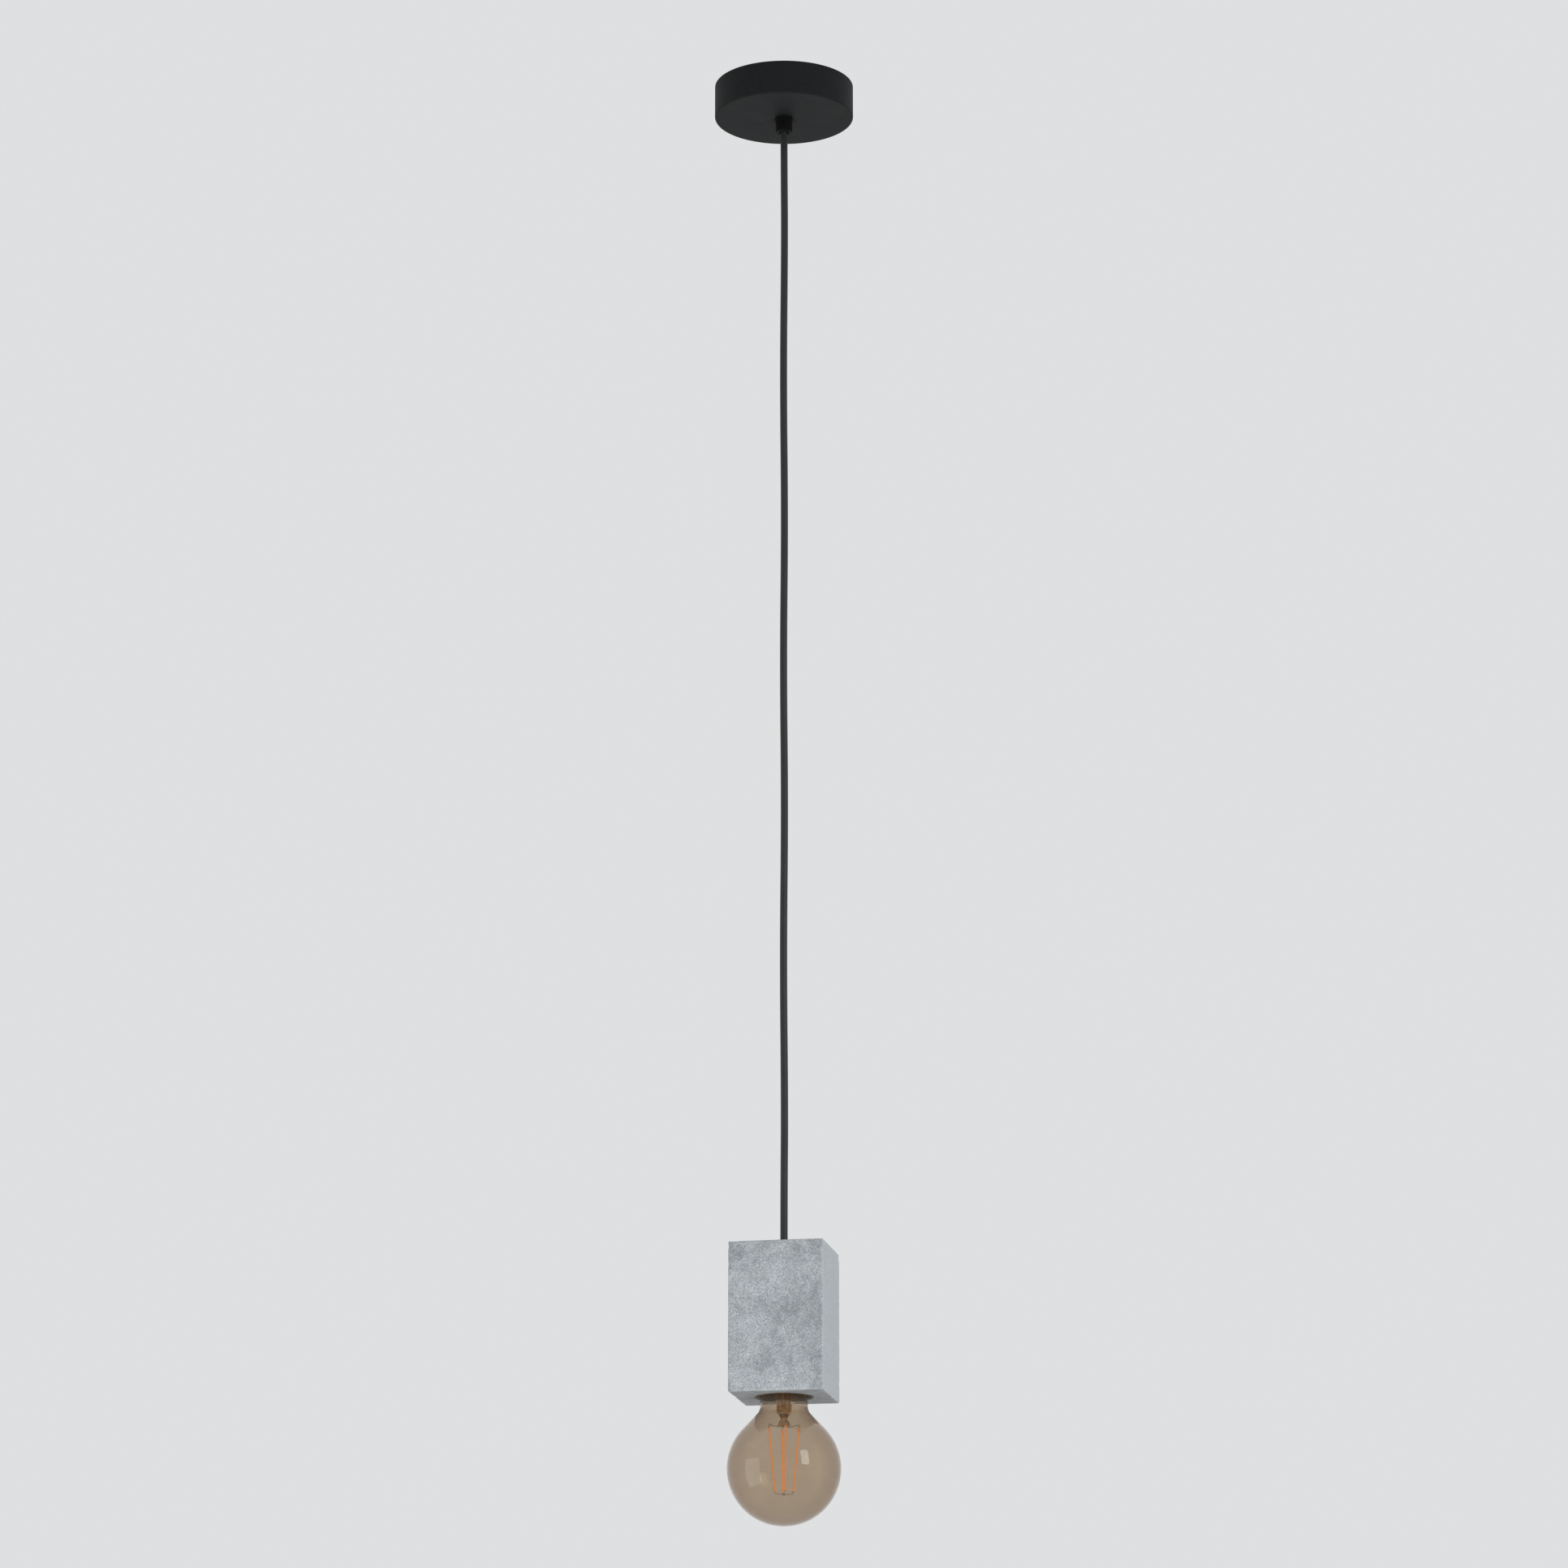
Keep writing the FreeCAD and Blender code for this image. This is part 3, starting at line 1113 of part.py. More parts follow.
# ================================================================ the whole lamp
def nodes():
    """Every node's name with its solids."""
    lamp = {
        "canopy_cup": canopy_cup(),
        "ceiling_bracket": ceiling_bracket(),
        "canopy_threaded_tube": threaded_tube(UPPER_TUBE_BOTTOM, UPPER_TUBE_TOP),
        "bracket_nuts": bracket_nuts(),
        "bracket_lock_washer": bracket_lock_washer(),
        "cord_grip": cord_grip(),
        "grip_set_screw": grip_set_screw(),
        "terminal_block": terminal_block(),
        "terminal_barrels": terminal_barrels(),
        "terminal_screws": terminal_screws(),
        "terminal_block_screw": terminal_block_screw(),
        "earth_screw": earth_screw(),
        "earth_washer": earth_washer(),
        "earth_lug": earth_lug(),
        "live_wire": live_wire(),
        "neutral_wire": neutral_wire(),
        "earth_wire": earth_wire(),
        "bare_wire_ends": bare_wire_ends(),
        "cable_stub": cable_stub(),
        "cable_bend": cable_bend(),
        "hanging_cable": hanging_cable(),
        "concrete_block": concrete_block(),
        "block_washer": block_washer(),
        "block_nut": block_nut(),
        "holder_tube": holder_tube(),
        "tube_bushing": tube_bushing(),
        "cable_end": cable_end(),
        "holder_cap": holder_cap(),
        "holder_shell": holder_shell(),
        "holder_insert": holder_insert(),
        "holder_terminal_plates": holder_terminal_plates(),
        "holder_terminal_screws": holder_terminal_screws(),
        "holder_sleeve": holder_sleeve(),
        "centre_contact": centre_contact(),
        "holder_live_wire": holder_wire(1),
        "holder_neutral_wire": holder_wire(-1),
        "holder_wire_ends": holder_wire_ends(),
        "bulb_glass": bulb_glass(),
        "bulb_cap": bulb_cap(),
        "bulb_cap_cement": bulb_cap_cement(),
        "cap_insulator": cap_insulator(),
        "bulb_tip": bulb_tip(),
        "glass_stem": glass_stem(),
        "exhaust_tube": exhaust_tube(),
        "filament_ferrules": filament_ferrules(),
        "filament_hangers": filament_hangers(),
        "filament_bridge": filament_bridge(),
        "driver_board": driver_board(),
        "driver_components": driver_components(),
        "bulb_leads": bulb_leads(),
    }
    for step in range(FILAMENT_COUNT):
        lamp[f"led_filament_{step + 1}"] = led_filament(step)
    return lamp


def main():
    os.makedirs("parts", exist_ok=True)
    for name, solids in nodes().items():
        shape = Part.makeCompound(solids) if isinstance(solids, list) else solids
        if not shape.isValid():
            raise ValueError(name + " is not a valid shape")
        shape.exportStep("parts/" + name + ".step")
        print(f"{name}: {len(shape.Solids)} solid(s), {shape.Volume:.1f} mm3")


main()
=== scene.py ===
"""Looks of a pendant lamp: black canopy, straight black cord, cast concrete block, amber globe bulb.

Metres, +Z up. The origin is on the ceiling, on the axis that the lamp hangs in. Heights and widths come from
the frame; the sizes below are the ones that the frame can't give.
"""
import json
import math

import bmesh
import bpy
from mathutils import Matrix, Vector, noise


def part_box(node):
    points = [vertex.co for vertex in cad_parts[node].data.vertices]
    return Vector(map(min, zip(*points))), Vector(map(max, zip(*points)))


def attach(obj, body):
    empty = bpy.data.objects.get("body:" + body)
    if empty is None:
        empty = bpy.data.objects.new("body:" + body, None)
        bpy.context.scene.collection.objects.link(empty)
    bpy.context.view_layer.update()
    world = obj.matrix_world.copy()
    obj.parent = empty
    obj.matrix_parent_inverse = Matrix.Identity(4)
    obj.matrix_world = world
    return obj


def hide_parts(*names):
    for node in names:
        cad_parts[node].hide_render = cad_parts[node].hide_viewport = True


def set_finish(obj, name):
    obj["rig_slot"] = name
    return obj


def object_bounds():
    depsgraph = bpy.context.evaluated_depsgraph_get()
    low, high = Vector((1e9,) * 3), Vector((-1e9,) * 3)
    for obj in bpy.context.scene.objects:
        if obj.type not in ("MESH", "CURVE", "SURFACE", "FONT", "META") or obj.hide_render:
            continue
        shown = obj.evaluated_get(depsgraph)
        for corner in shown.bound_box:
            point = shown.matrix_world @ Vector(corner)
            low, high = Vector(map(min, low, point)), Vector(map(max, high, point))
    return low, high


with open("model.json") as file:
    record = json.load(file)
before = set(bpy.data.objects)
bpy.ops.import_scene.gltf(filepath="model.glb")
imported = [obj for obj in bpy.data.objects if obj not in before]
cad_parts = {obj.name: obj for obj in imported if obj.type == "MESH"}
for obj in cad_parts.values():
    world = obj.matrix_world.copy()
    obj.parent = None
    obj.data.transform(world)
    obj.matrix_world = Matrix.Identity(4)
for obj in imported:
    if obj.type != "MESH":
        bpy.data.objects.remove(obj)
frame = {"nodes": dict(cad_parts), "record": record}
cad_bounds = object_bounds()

MM = 0.001
ON_AXIS = 1e-7                  # nearer to the axis than this counts as on it

# ---------------------------------------------------------------- camera
CAMERA_AWAY = 3.8225            # level distance from the lamp's axis
CAMERA_TURN = 10.27             # degrees round to the right of the block's front
CAMERA_DROP = 1.5728            # below the ceiling
CAMERA_TILT = 15.13             # degrees, looking up
CAMERA_LENS = 126.03            # mm
CAMERA_SENSOR = 36              # mm across
CAMERA_REACH = 100              # how far it sees

# ---------------------------------------------------------------- room
FLOOR_LEVEL = -4.6              # below the ceiling
FLOOR_REACH = 60.0              # from the middle to each side
FLOOR_GLOW = 0.80               # the floor gives off light, or its horizon would show dark in the bulb
SURROUND_SEEN = 0.95            # the surround's strength where it is seen, mirrored, or seen through glass
SURROUND_ON_MATT = 0.12         # its strength where it lights matt surfaces
# Each lamp: name, what it stands by, its place and its aim from there, width and height, power, the angle in
# degrees that its light spreads over, and whether it shows in gloss and through glass.
LAMPS = [
    ("window", "bulb", (1.95, -1.44, 0.72), (0, 0, 0), 0.70, 1.22, 7.7, 180, True),
    ("fill", "bulb", (-2.10, -1.34, -0.30), (0, 0, 0.3), 1.6, 2.1, 9, 180, True),
    ("key", "block", (1.9, -1.45, -0.35), (0, 0, 0), 1.0, 1.0, 3.0, 50, False),
    ("wide", "block", (-1.3, -1.9, 0.0), (0, 0, 0), 1.2, 1.2, 1.85, 50, False),
    ("back", "block", (-0.9, 2.1, 0.5), (0, 0, 0), 1.2, 1.2, 3.4, 60, False),
    ("top", "middle", (0.5, 1.0, 2.5), (0, 0, 0), 2.0, 2.0, 60, 180, False),
]

# ---------------------------------------------------------------- cord
CORD_DIAMETER = 5.3 * MM
# Down from the grip's mouth to the block. It keeps a faint wave from the reel that it came off.
CORD_ROUTE = [
    (0, 0, -0.0365), (0.0001, 0, -0.068), (0.0005, 0, -0.122), (-0.0006, 0, -0.231), (0.0006, 0, -0.340),
    (-0.0006, 0, -0.449), (0.0006, 0, -0.558), (-0.0006, 0, -0.668), (0.0005, 0, -0.777), (0, 0, -0.838),
    (0, 0, -0.8729),
]

# ---------------------------------------------------------------- canopy
CANOPY_WALL = 1.0 * MM
CANOPY_EDGE = 1.2 * MM          # radius round the bottom
CANOPY_HOLE = 10.3 * MM         # in the floor, for the threaded tube
CANOPY_CORNER = 0.2 * MM        # the wall's inside corner is filled this much
CANOPY_SIDES = 256

# ---------------------------------------------------------------- block
VOXEL = 0.7 * MM                # fine enough for the block's rounded edges
EDGE_REACH = 2.6 * MM           # how far in from an edge the corners are worn
CHIP_DEPTH = 0.9 * MM
CHIP_SPACING = 7 * MM
CHIP_ROUGHNESS = 0.9            # how fast the chips' finer shapes fade
CHIP_FROM = 0.34                # the level of the noise that chips start at
CHIP_GAIN = 2.2
FACE_SWELL = 0.10 * MM          # how far the faces are from flat
SWELL_SPACING = 26 * MM
GRIT_SPACING = 2.2 * MM
GRIT_DEPTH = 0.04 * MM
# Scratches on the block's front, as (across, up) from its middle, from one end to the other.
SCRATCHES = [
    [(-0.0105, 0.0300), (-0.0035, 0.0215), (0.0005, 0.0180)],
    [(-0.0305, 0.0085), (-0.0255, 0.0035), (-0.0215, 0.0012), (-0.0140, -0.0010)],
    [(0.0015, 0.0010), (0.0060, -0.0085), (0.0110, -0.0190)],
]
SCRATCH_WIDTH = 0.45 * MM
SCRATCH_DEPTH = 0.12 * MM
FRONT_SKIN = 0.5 * MM           # how far behind the front plane a point still lies on the front

# ---------------------------------------------------------------- bulb
GLASS_WALL = 0.7 * MM
NECK_DIAMETER = 33.6 * MM
CONE_LEAN = 43.5                # degrees, of the shoulder from upright
NECK_FILLET = 8.0 * MM
THROAT_DIAMETER = 22.2 * MM     # the glass's narrow end, inside the cap
SHOULDER_RISE = 1.6 * MM        # from the cap's rim up to the narrow end
SHOULDER_DROP = 5.0 * MM        # from the cap's rim down to the full neck
GLOBE_SIDES = 192
STEM_DIAMETER = 10.6 * MM
STEM_WALL = 0.9 * MM
STEM_WAIST = 4.85 * MM
STEM_BUTTON = 9.1 * MM
STEM_WAIST_UP = 4.9 * MM        # from the stem's foot to its waist
STEM_TUBE_UP = 10.3 * MM        # from the stem's foot to the full tube
BUTTON_FLAT = 0.6               # share of the button's foot that is flat
BUTTON_EDGE = 0.5 * MM          # radius round the button's foot
BUTTON_RISE = 1.2 * MM          # from the foot to where the button narrows
BORE_FLAT = 0.7                 # share of the bore that its blind end is flat over
STEM_FLARE = 6.5 * MM           # height of the flare at the stem's top
FLARE_CURVE = 2.2               # how late the flare opens
FLARE_STEPS = 10
STEM_SIDES = 96
FILAMENT_DIAMETER = 1.2 * MM
FILAMENT_END = 1.62 * MM        # the coat is thicker where it covers a ferrule
FILAMENT_TOP = 10.7 * MM        # from the axis to each filament's upper end
FILAMENT_FOOT = 6.4 * MM
FILAMENT_PHASE = 16.7           # degrees, from the front to the first filament
FILAMENTS = 4
FILAMENT_SIDES = 20
FERRULE_LENGTH = 2.6 * MM
COAT_START = 0.5 * MM           # length of ferrule that the coat leaves bare
COAT_TIP = 0.36                 # the coat's tip, as a share of the end's width
COAT_EDGE = 0.35 * MM
DIE_PITCH = 1.45 * MM           # from one die to the next, along a filament
DIE_BULGE = 0.05                # how much the coat swells over each die


# ================================================================ camera, cord and room
def camera():
    turn = math.radians(CAMERA_TURN)
    made = bpy.data.objects.new("camera", bpy.data.cameras.new("camera"))
    made.location = (CAMERA_AWAY * math.sin(turn), -CAMERA_AWAY * math.cos(turn), -CAMERA_DROP)
    made.rotation_euler = (math.radians(90 + CAMERA_TILT), 0, turn)
    made.data.lens = CAMERA_LENS
    made.data.sensor_width = CAMERA_SENSOR
    made.data.clip_end = CAMERA_REACH
    bpy.context.collection.objects.link(made)
    bpy.context.scene.camera = made


def cord():
    """One smooth line at the cord's real length. The block's weight keeps it taut."""
    line = bpy.data.curves.new("cord", "CURVE")
    line.dimensions = "3D"
    # The width is in the points' radius, which keeps the cord's box as narrow as the cord.
    line.bevel_depth = 1.0
    line.bevel_resolution = 12
    line.resolution_u = 24
    line.use_fill_caps = True
    spline = line.splines.new("NURBS")
    spline.points.add(len(CORD_ROUTE) - 1)
    for point, place in zip(spline.points, CORD_ROUTE):
        point.co = (*place, 1)
        point.radius = CORD_DIAMETER / 2
    spline.order_u = 3
    spline.use_endpoint_u = True
    made = bpy.data.objects.new("cord", line)
    bpy.context.collection.objects.link(made)
    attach(made, "cable")
    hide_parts("hanging_cable")
    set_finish(made, "cable_sheath")
    return made


def softbox(name, place, aim, width, height, power, spread, mirrored):
    """A flat lamp with a diffuser, aimed at a point. Unless mirrored, it shows in no gloss or glass."""
    lamp = bpy.data.lights.new(name, "AREA")
    lamp.shape = "RECTANGLE"
    lamp.size = width
    lamp.size_y = height
    lamp.energy = power
    lamp.spread = math.radians(spread)
    made = bpy.data.objects.new(name, lamp)
    made.location = place
    made.rotation_mode = "QUATERNION"
    made.rotation_quaternion = (Vector(aim) - Vector(place)).to_track_quat("-Z", "Y")
    made.visible_camera = False
    made.visible_glossy = mirrored
    made.visible_transmission = mirrored
    bpy.context.collection.objects.link(made)


def surround():
    """An even pale surround. It lights matt surfaces less than it shows, so that the lamps give the shape."""
    world = bpy.data.worlds.new("surround")
    world.use_nodes = True
    tree = world.node_tree
    matt = put(tree, "LightPath").outputs["Is Diffuse Ray"]
    strength = put(tree, "MapRange", {"Value": matt, "To Min": SURROUND_SEEN, "To Max": SURROUND_ON_MATT})
    sky = tree.nodes["Background"]
    sky.inputs["Color"].default_value = rgb("e4e5e6")
    tree.links.new(strength.outputs["Result"], sky.inputs["Strength"])
    bpy.context.scene.world = world


def room():
    """A pale floor far below, the lamps and the pale surround."""
    mesh = bpy.data.meshes.new("floor")
    sides = [(-1, -1), (1, -1), (1, 1), (-1, 1)]
    corners = [(FLOOR_REACH * x, FLOOR_REACH * y, FLOOR_LEVEL) for x, y in sides]
    mesh.from_pydata(corners, [], [(0, 1, 2, 3)])
    floor = bpy.data.objects.new("floor", mesh)
    bpy.context.collection.objects.link(floor)
    mesh.materials.append(painted_floor())
    low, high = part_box("concrete_block")
    stands = {
        "bulb": Vector((0, 0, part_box("bulb_glass")[0].z)),
        "block": (low + high) / 2,
        "middle": (cad_bounds[0] + cad_bounds[1]) / 2,
    }
    for name, by, place, aim, *rest in LAMPS:
        softbox(name, stands[by] + Vector(place), stands[by] + Vector(aim), *rest)
    surround()
    bpy.context.scene.view_settings.view_transform = "Standard"


# ================================================================ mesh helpers
def piece(name, vertices, faces, body, stands_for, slot):
    """A new smooth mesh that rides on a body in place of CAD nodes."""
    mesh = bpy.data.meshes.new(name)
    mesh.from_pydata(vertices, [], faces)
    work = bmesh.new()
    work.from_mesh(mesh)
    bmesh.ops.recalc_face_normals(work, faces=work.faces)
    work.to_mesh(mesh)
    work.free()
    mesh.shade_smooth()
    made = bpy.data.objects.new(name, mesh)
    bpy.context.collection.objects.link(made)
    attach(made, body)
    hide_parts(*stands_for)
    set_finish(made, slot)
    return made


def arc(middle, radius, start, end, steps):
    """Points (r, z) round a middle, from one angle to another in degrees."""
    points = []
    for step in range(steps + 1):
        turn = math.radians(start + (end - start) * step / steps)
        points.append((middle[0] + radius * math.cos(turn), middle[1] + radius * math.sin(turn)))
    return points


def ease(start, end, steps):
    """Points of a soft S from one (r, z) to another, upright at both ends."""
    points = []
    for step in range(steps + 1):
        share = step / steps
        across = share * share * (3 - 2 * share)
        points.append((start[0] + (end[0] - start[0]) * across, start[1] + (end[1] - start[1]) * share))
    return points


def turned(outline, sides, closed=True):
    """Vertices and faces of an outline of (r, z) points turned about Z. A point on the axis is one vertex."""
    vertices, rings, faces = [], [], []
    for r, z in outline:
        if r < ON_AXIS:
            rings.append([len(vertices)] * sides)
            vertices.append((0, 0, z))
            continue
        rings.append(list(range(len(vertices), len(vertices) + sides)))
        for side in range(sides):
            turn = math.tau * side / sides
            vertices.append((r * math.cos(turn), r * math.sin(turn), z))
    pairs = list(zip(rings, rings[1:])) + ([(rings[-1], rings[0])] if closed else [])
    for upper, lower in pairs:
        for side in range(sides):
            after = (side + 1) % sides
            corners = (upper[side], lower[side], lower[after], upper[after])
            kept = tuple(dict.fromkeys(corners))
            if len(kept) > 2:
                faces.append(kept)
    return vertices, faces


# ================================================================ the lamp's pieces
def canopy_shell():
    """Pressed steel cup with a soft bottom edge and a lip turned smooth at its rim."""
    low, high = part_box("canopy_cup")
    outer, floor, edge = high.x, low.z, CANOPY_EDGE
    inner = outer - CANOPY_WALL
    lip = CANOPY_WALL / 2
    outline = [(CANOPY_HOLE / 2, floor + CANOPY_WALL), (CANOPY_HOLE / 2, floor)]
    outline += [(outer * share, floor) for share in (0.2, 0.4, 0.6, 0.8, 0.95)]
    outline += arc((outer - edge, floor + edge), edge, -90, 0, 10)
    outline += [(outer, floor * share) for share in (0.9, 0.6, 0.3, 0.05)]
    outline += arc((outer - lip, -lip), lip, 0, 180, 8)
    outline += [(inner, floor * share) for share in (0.05, 0.5, 0.9)]
    outline += [(inner - CANOPY_CORNER, floor + CANOPY_WALL), (outer / 2, floor + CANOPY_WALL)]
    vertices, faces = turned(outline, CANOPY_SIDES)
    return piece("canopy_shell", vertices, faces, "canopy", ["canopy_cup"], "black_paint")


def distance_to_line(point, start, end):
    """How far a point (across, up) is from a straight stretch."""
    along = Vector(end) - Vector(start)
    share = (Vector(point) - Vector(start)).dot(along) / along.length_squared
    return (Vector(point) - Vector(start) - along * max(0.0, min(1.0, share))).length


def cast_block():
    """The block as it came out of its mould: faces a little uneven, edges chipped, a few scratches."""
    low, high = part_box("concrete_block")
    middle = (low + high) / 2
    half = (high - low) / 2
    made = frame["nodes"]["concrete_block"].copy()
    made.data = made.data.copy()
    made.name = "cast_block"
    for key in list(made.keys()):
        del made[key]
    made.parent = None
    bpy.context.collection.objects.link(made)
    remesh = made.modifiers.new("even", "REMESH")
    remesh.mode = "VOXEL"
    remesh.voxel_size = VOXEL
    bpy.context.view_layer.update()
    graph = bpy.context.evaluated_depsgraph_get()
    mesh = bpy.data.meshes.new_from_object(made.evaluated_get(graph))
    made.modifiers.clear()
    made.data = mesh
    made.data.materials.clear()
    wear_and_edge_highlight = mesh.attributes.new("wear_and_edge_highlight", "FLOAT", "POINT")
    scratched = mesh.attributes.new("scratched", "FLOAT", "POINT")
    for vertex in mesh.vertices:
        place = vertex.co - middle
        inward = Vector((0, 0, 0))
        near = []
        for axis in range(3):
            gap = half[axis] - abs(place[axis])
            if gap < EDGE_REACH:
                near.append(gap)
                inward[axis] = -math.copysign(1, place[axis])
        if len(near) > 1:
            closeness = 1 - max(sorted(near)[:2]) / EDGE_REACH
            rough = noise.fractal(vertex.co / CHIP_SPACING, CHIP_ROUGHNESS, 2.0, 4)
            broken = max(0.0, rough - CHIP_FROM) * CHIP_GAIN
            vertex.co += inward.normalized() * min(CHIP_DEPTH, broken * CHIP_DEPTH) * closeness
            # This closeness also pales the edges' colour: partly rubbed lighter with use, partly a painted
            # highlight where the rounded edges catch the light.
            wear_and_edge_highlight.data[vertex.index].value = closeness
        elif near:
            swell = noise.noise(vertex.co / SWELL_SPACING) * FACE_SWELL
            grit = abs(noise.noise(vertex.co / GRIT_SPACING)) * GRIT_DEPTH
            vertex.co += inward * (abs(swell) + grit)
            if -place.y > half.y - FRONT_SKIN:
                spot = (place.x, place.z)
                for line in SCRATCHES:
                    reach = min(distance_to_line(spot, *ends) for ends in zip(line, line[1:]))
                    mark = max(0.0, 1 - reach / SCRATCH_WIDTH)
                    if mark > scratched.data[vertex.index].value:
                        scratched.data[vertex.index].value = mark
                        vertex.co.y += SCRATCH_DEPTH * mark
    mesh.shade_smooth()
    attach(made, "head")
    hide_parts("concrete_block")
    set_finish(made, "concrete")
    return made


def globe_outline(inset):
    """The glass from its narrow end in the cap to the bottom of the globe, moved in by an inset."""
    low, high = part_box("bulb_glass")
    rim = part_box("bulb_cap")[0].z
    globe = high.x - inset
    centre = low.z + high.x
    neck = NECK_DIAMETER / 2 - inset
    throat = THROAT_DIAMETER / 2 - inset
    fillet = NECK_FILLET + inset
    lean = math.radians(CONE_LEAN)
    fillet_r = neck + fillet
    fillet_z = centre + (globe + fillet - math.cos(lean) * fillet_r) / math.sin(lean)
    outline = [(throat, high.z), (throat, (high.z + rim + SHOULDER_RISE) / 2)]
    outline += ease((throat, rim + SHOULDER_RISE), (neck, rim - SHOULDER_DROP), 12)
    outline += arc((fillet_r, fillet_z), fillet, 180, 180 + CONE_LEAN, 12)
    outline += arc((0, centre), globe, CONE_LEAN, -90, 96)
    return outline[:-1] + [(0, centre - globe)]


def globe():
    """Blown glass with an even wall."""
    outline = globe_outline(0) + globe_outline(GLASS_WALL)[::-1]
    vertices, faces = turned(outline, GLOBE_SIDES)
    return piece("globe", vertices, faces, "bulb", ["bulb_glass"], "amber_glass")


def stem():
    """Glass mount: a flare sealed to the throat, a tube, a pinched waist and a button."""
    low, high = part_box("glass_stem")
    waist = low.z + STEM_WAIST_UP
    full = low.z + STEM_TUBE_UP
    tube = STEM_DIAMETER / 2
    bore = STEM_DIAMETER / 2 - STEM_WALL
    edge = STEM_BUTTON / 2 - BUTTON_EDGE
    opening = high.x - tube
    foot = high.z - STEM_FLARE
    bell = []
    for step in range(FLARE_STEPS + 1):
        bell.append((opening * (step / FLARE_STEPS) ** FLARE_CURVE, foot + STEM_FLARE * step / FLARE_STEPS))
    outline = [(0, low.z), (STEM_BUTTON / 2 * BUTTON_FLAT, low.z)]
    outline += arc((edge, low.z + BUTTON_EDGE), BUTTON_EDGE, -90, 60, 6)
    outline += ease((edge, low.z + BUTTON_RISE), (STEM_WAIST / 2, waist), 10)
    outline += ease((STEM_WAIST / 2, waist), (tube, full), 14)[1:]
    outline += [(tube, (full + foot) / 2)]
    outline += [(tube + out, z) for out, z in bell]
    outline += [(bore + out, z) for out, z in reversed(bell)]
    outline += [(bore, (full + foot) / 2), (bore, full + 1.2 * MM)]
    outline += [(bore * BORE_FLAT, full - 0.2 * MM), (0, full - 1.0 * MM)]
    vertices, faces = turned(outline, STEM_SIDES, closed=False)
    return piece("stem", vertices, faces, "bulb", ["glass_stem"], "clear_glass")


def filament(step):
    """One coated strip, thicker at its ends where the coat laps over the ferrules."""
    low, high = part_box("filament_ferrules")
    turn = math.radians(-90 + FILAMENT_PHASE + 360 / FILAMENTS * step)
    across = Vector((math.cos(turn), math.sin(turn), 0))
    top = across * FILAMENT_TOP + Vector((0, 0, high.z))
    foot = across * FILAMENT_FOOT + Vector((0, 0, low.z))
    length = (foot - top).length
    thick_end = (FILAMENT_END / 2, FERRULE_LENGTH - 0.3 * MM)
    thin_start = (FILAMENT_DIAMETER / 2, FERRULE_LENGTH + 0.5 * MM)
    outline = [(0, COAT_START), (FILAMENT_END * COAT_TIP, COAT_START)]
    outline += [(FILAMENT_END / 2, COAT_START + COAT_EDGE)]
    outline += ease(thick_end, thin_start, 6)
    outline += [(r, length - z) for r, z in reversed(outline)]
    vertices, faces = turned(outline, FILAMENT_SIDES, closed=False)
    aim = (foot - top).to_track_quat("Z", "Y").to_matrix()
    placed = []
    for vertex in vertices:
        spot = Vector(vertex)
        beads = 1 + DIE_BULGE * math.sin(math.tau * spot.z / DIE_PITCH)
        placed.append(aim @ Vector((spot.x * beads, spot.y * beads, spot.z)) + top)
    number = step + 1
    name = f"coated_filament_{number}"
    return piece(name, placed, faces, "bulb", [f"led_filament_{number}"], "filament_phosphor")


# ================================================================ materials
def rgb(code):
    """An sRGB hex colour as linear red, green, blue and 1."""
    shares = [int(code[place:place + 2], 16) / 255 for place in (0, 2, 4)]
    return (*[s / 12.92 if s <= 0.04045 else ((s + 0.055) / 1.055) ** 2.4 for s in shares], 1)


def put(tree, kind, inputs=None, **settings):
    """Adds a node with its settings. Each input is a value, or the output that feeds it."""
    made = tree.nodes.new("ShaderNode" + kind)
    for name, value in settings.items():
        setattr(made, name, value)
    for name, value in (inputs or {}).items():
        if isinstance(value, bpy.types.NodeSocket):
            tree.links.new(value, made.inputs[name])
        else:
            made.inputs[name].default_value = value
    return made


def begin(name):
    """A material with an empty tree, and the place on the piece in metres."""
    material = bpy.data.materials.new(name)
    material.use_nodes = True
    tree = material.node_tree
    tree.nodes.clear()
    return material, tree, put(tree, "TexCoord").outputs["Object"]


def painted_floor():
    """Matt emulsion, rolled and lit from all round: pale, with no shine and hardly any texture."""
    material, tree, place = begin("emulsion_floor")
    clouds = put(tree, "TexNoise", {"Vector": place, "Scale": 0.8, "Detail": 3.0}).outputs["Fac"]
    tint = put(tree, "Mix", {"Factor": clouds, "A": rgb("dcdddd"), "B": rgb("e2e2e1")}, data_type="RGBA")
    shader = put(tree, "BsdfPrincipled", {
        "Base Color": tint.outputs["Result"], "Roughness": 0.9,
        "Emission Color": rgb("e4e5e6"), "Emission Strength": FLOOR_GLOW,
    }).outputs["BSDF"]
    put(tree, "OutputMaterial", {"Surface": shader})
    return material


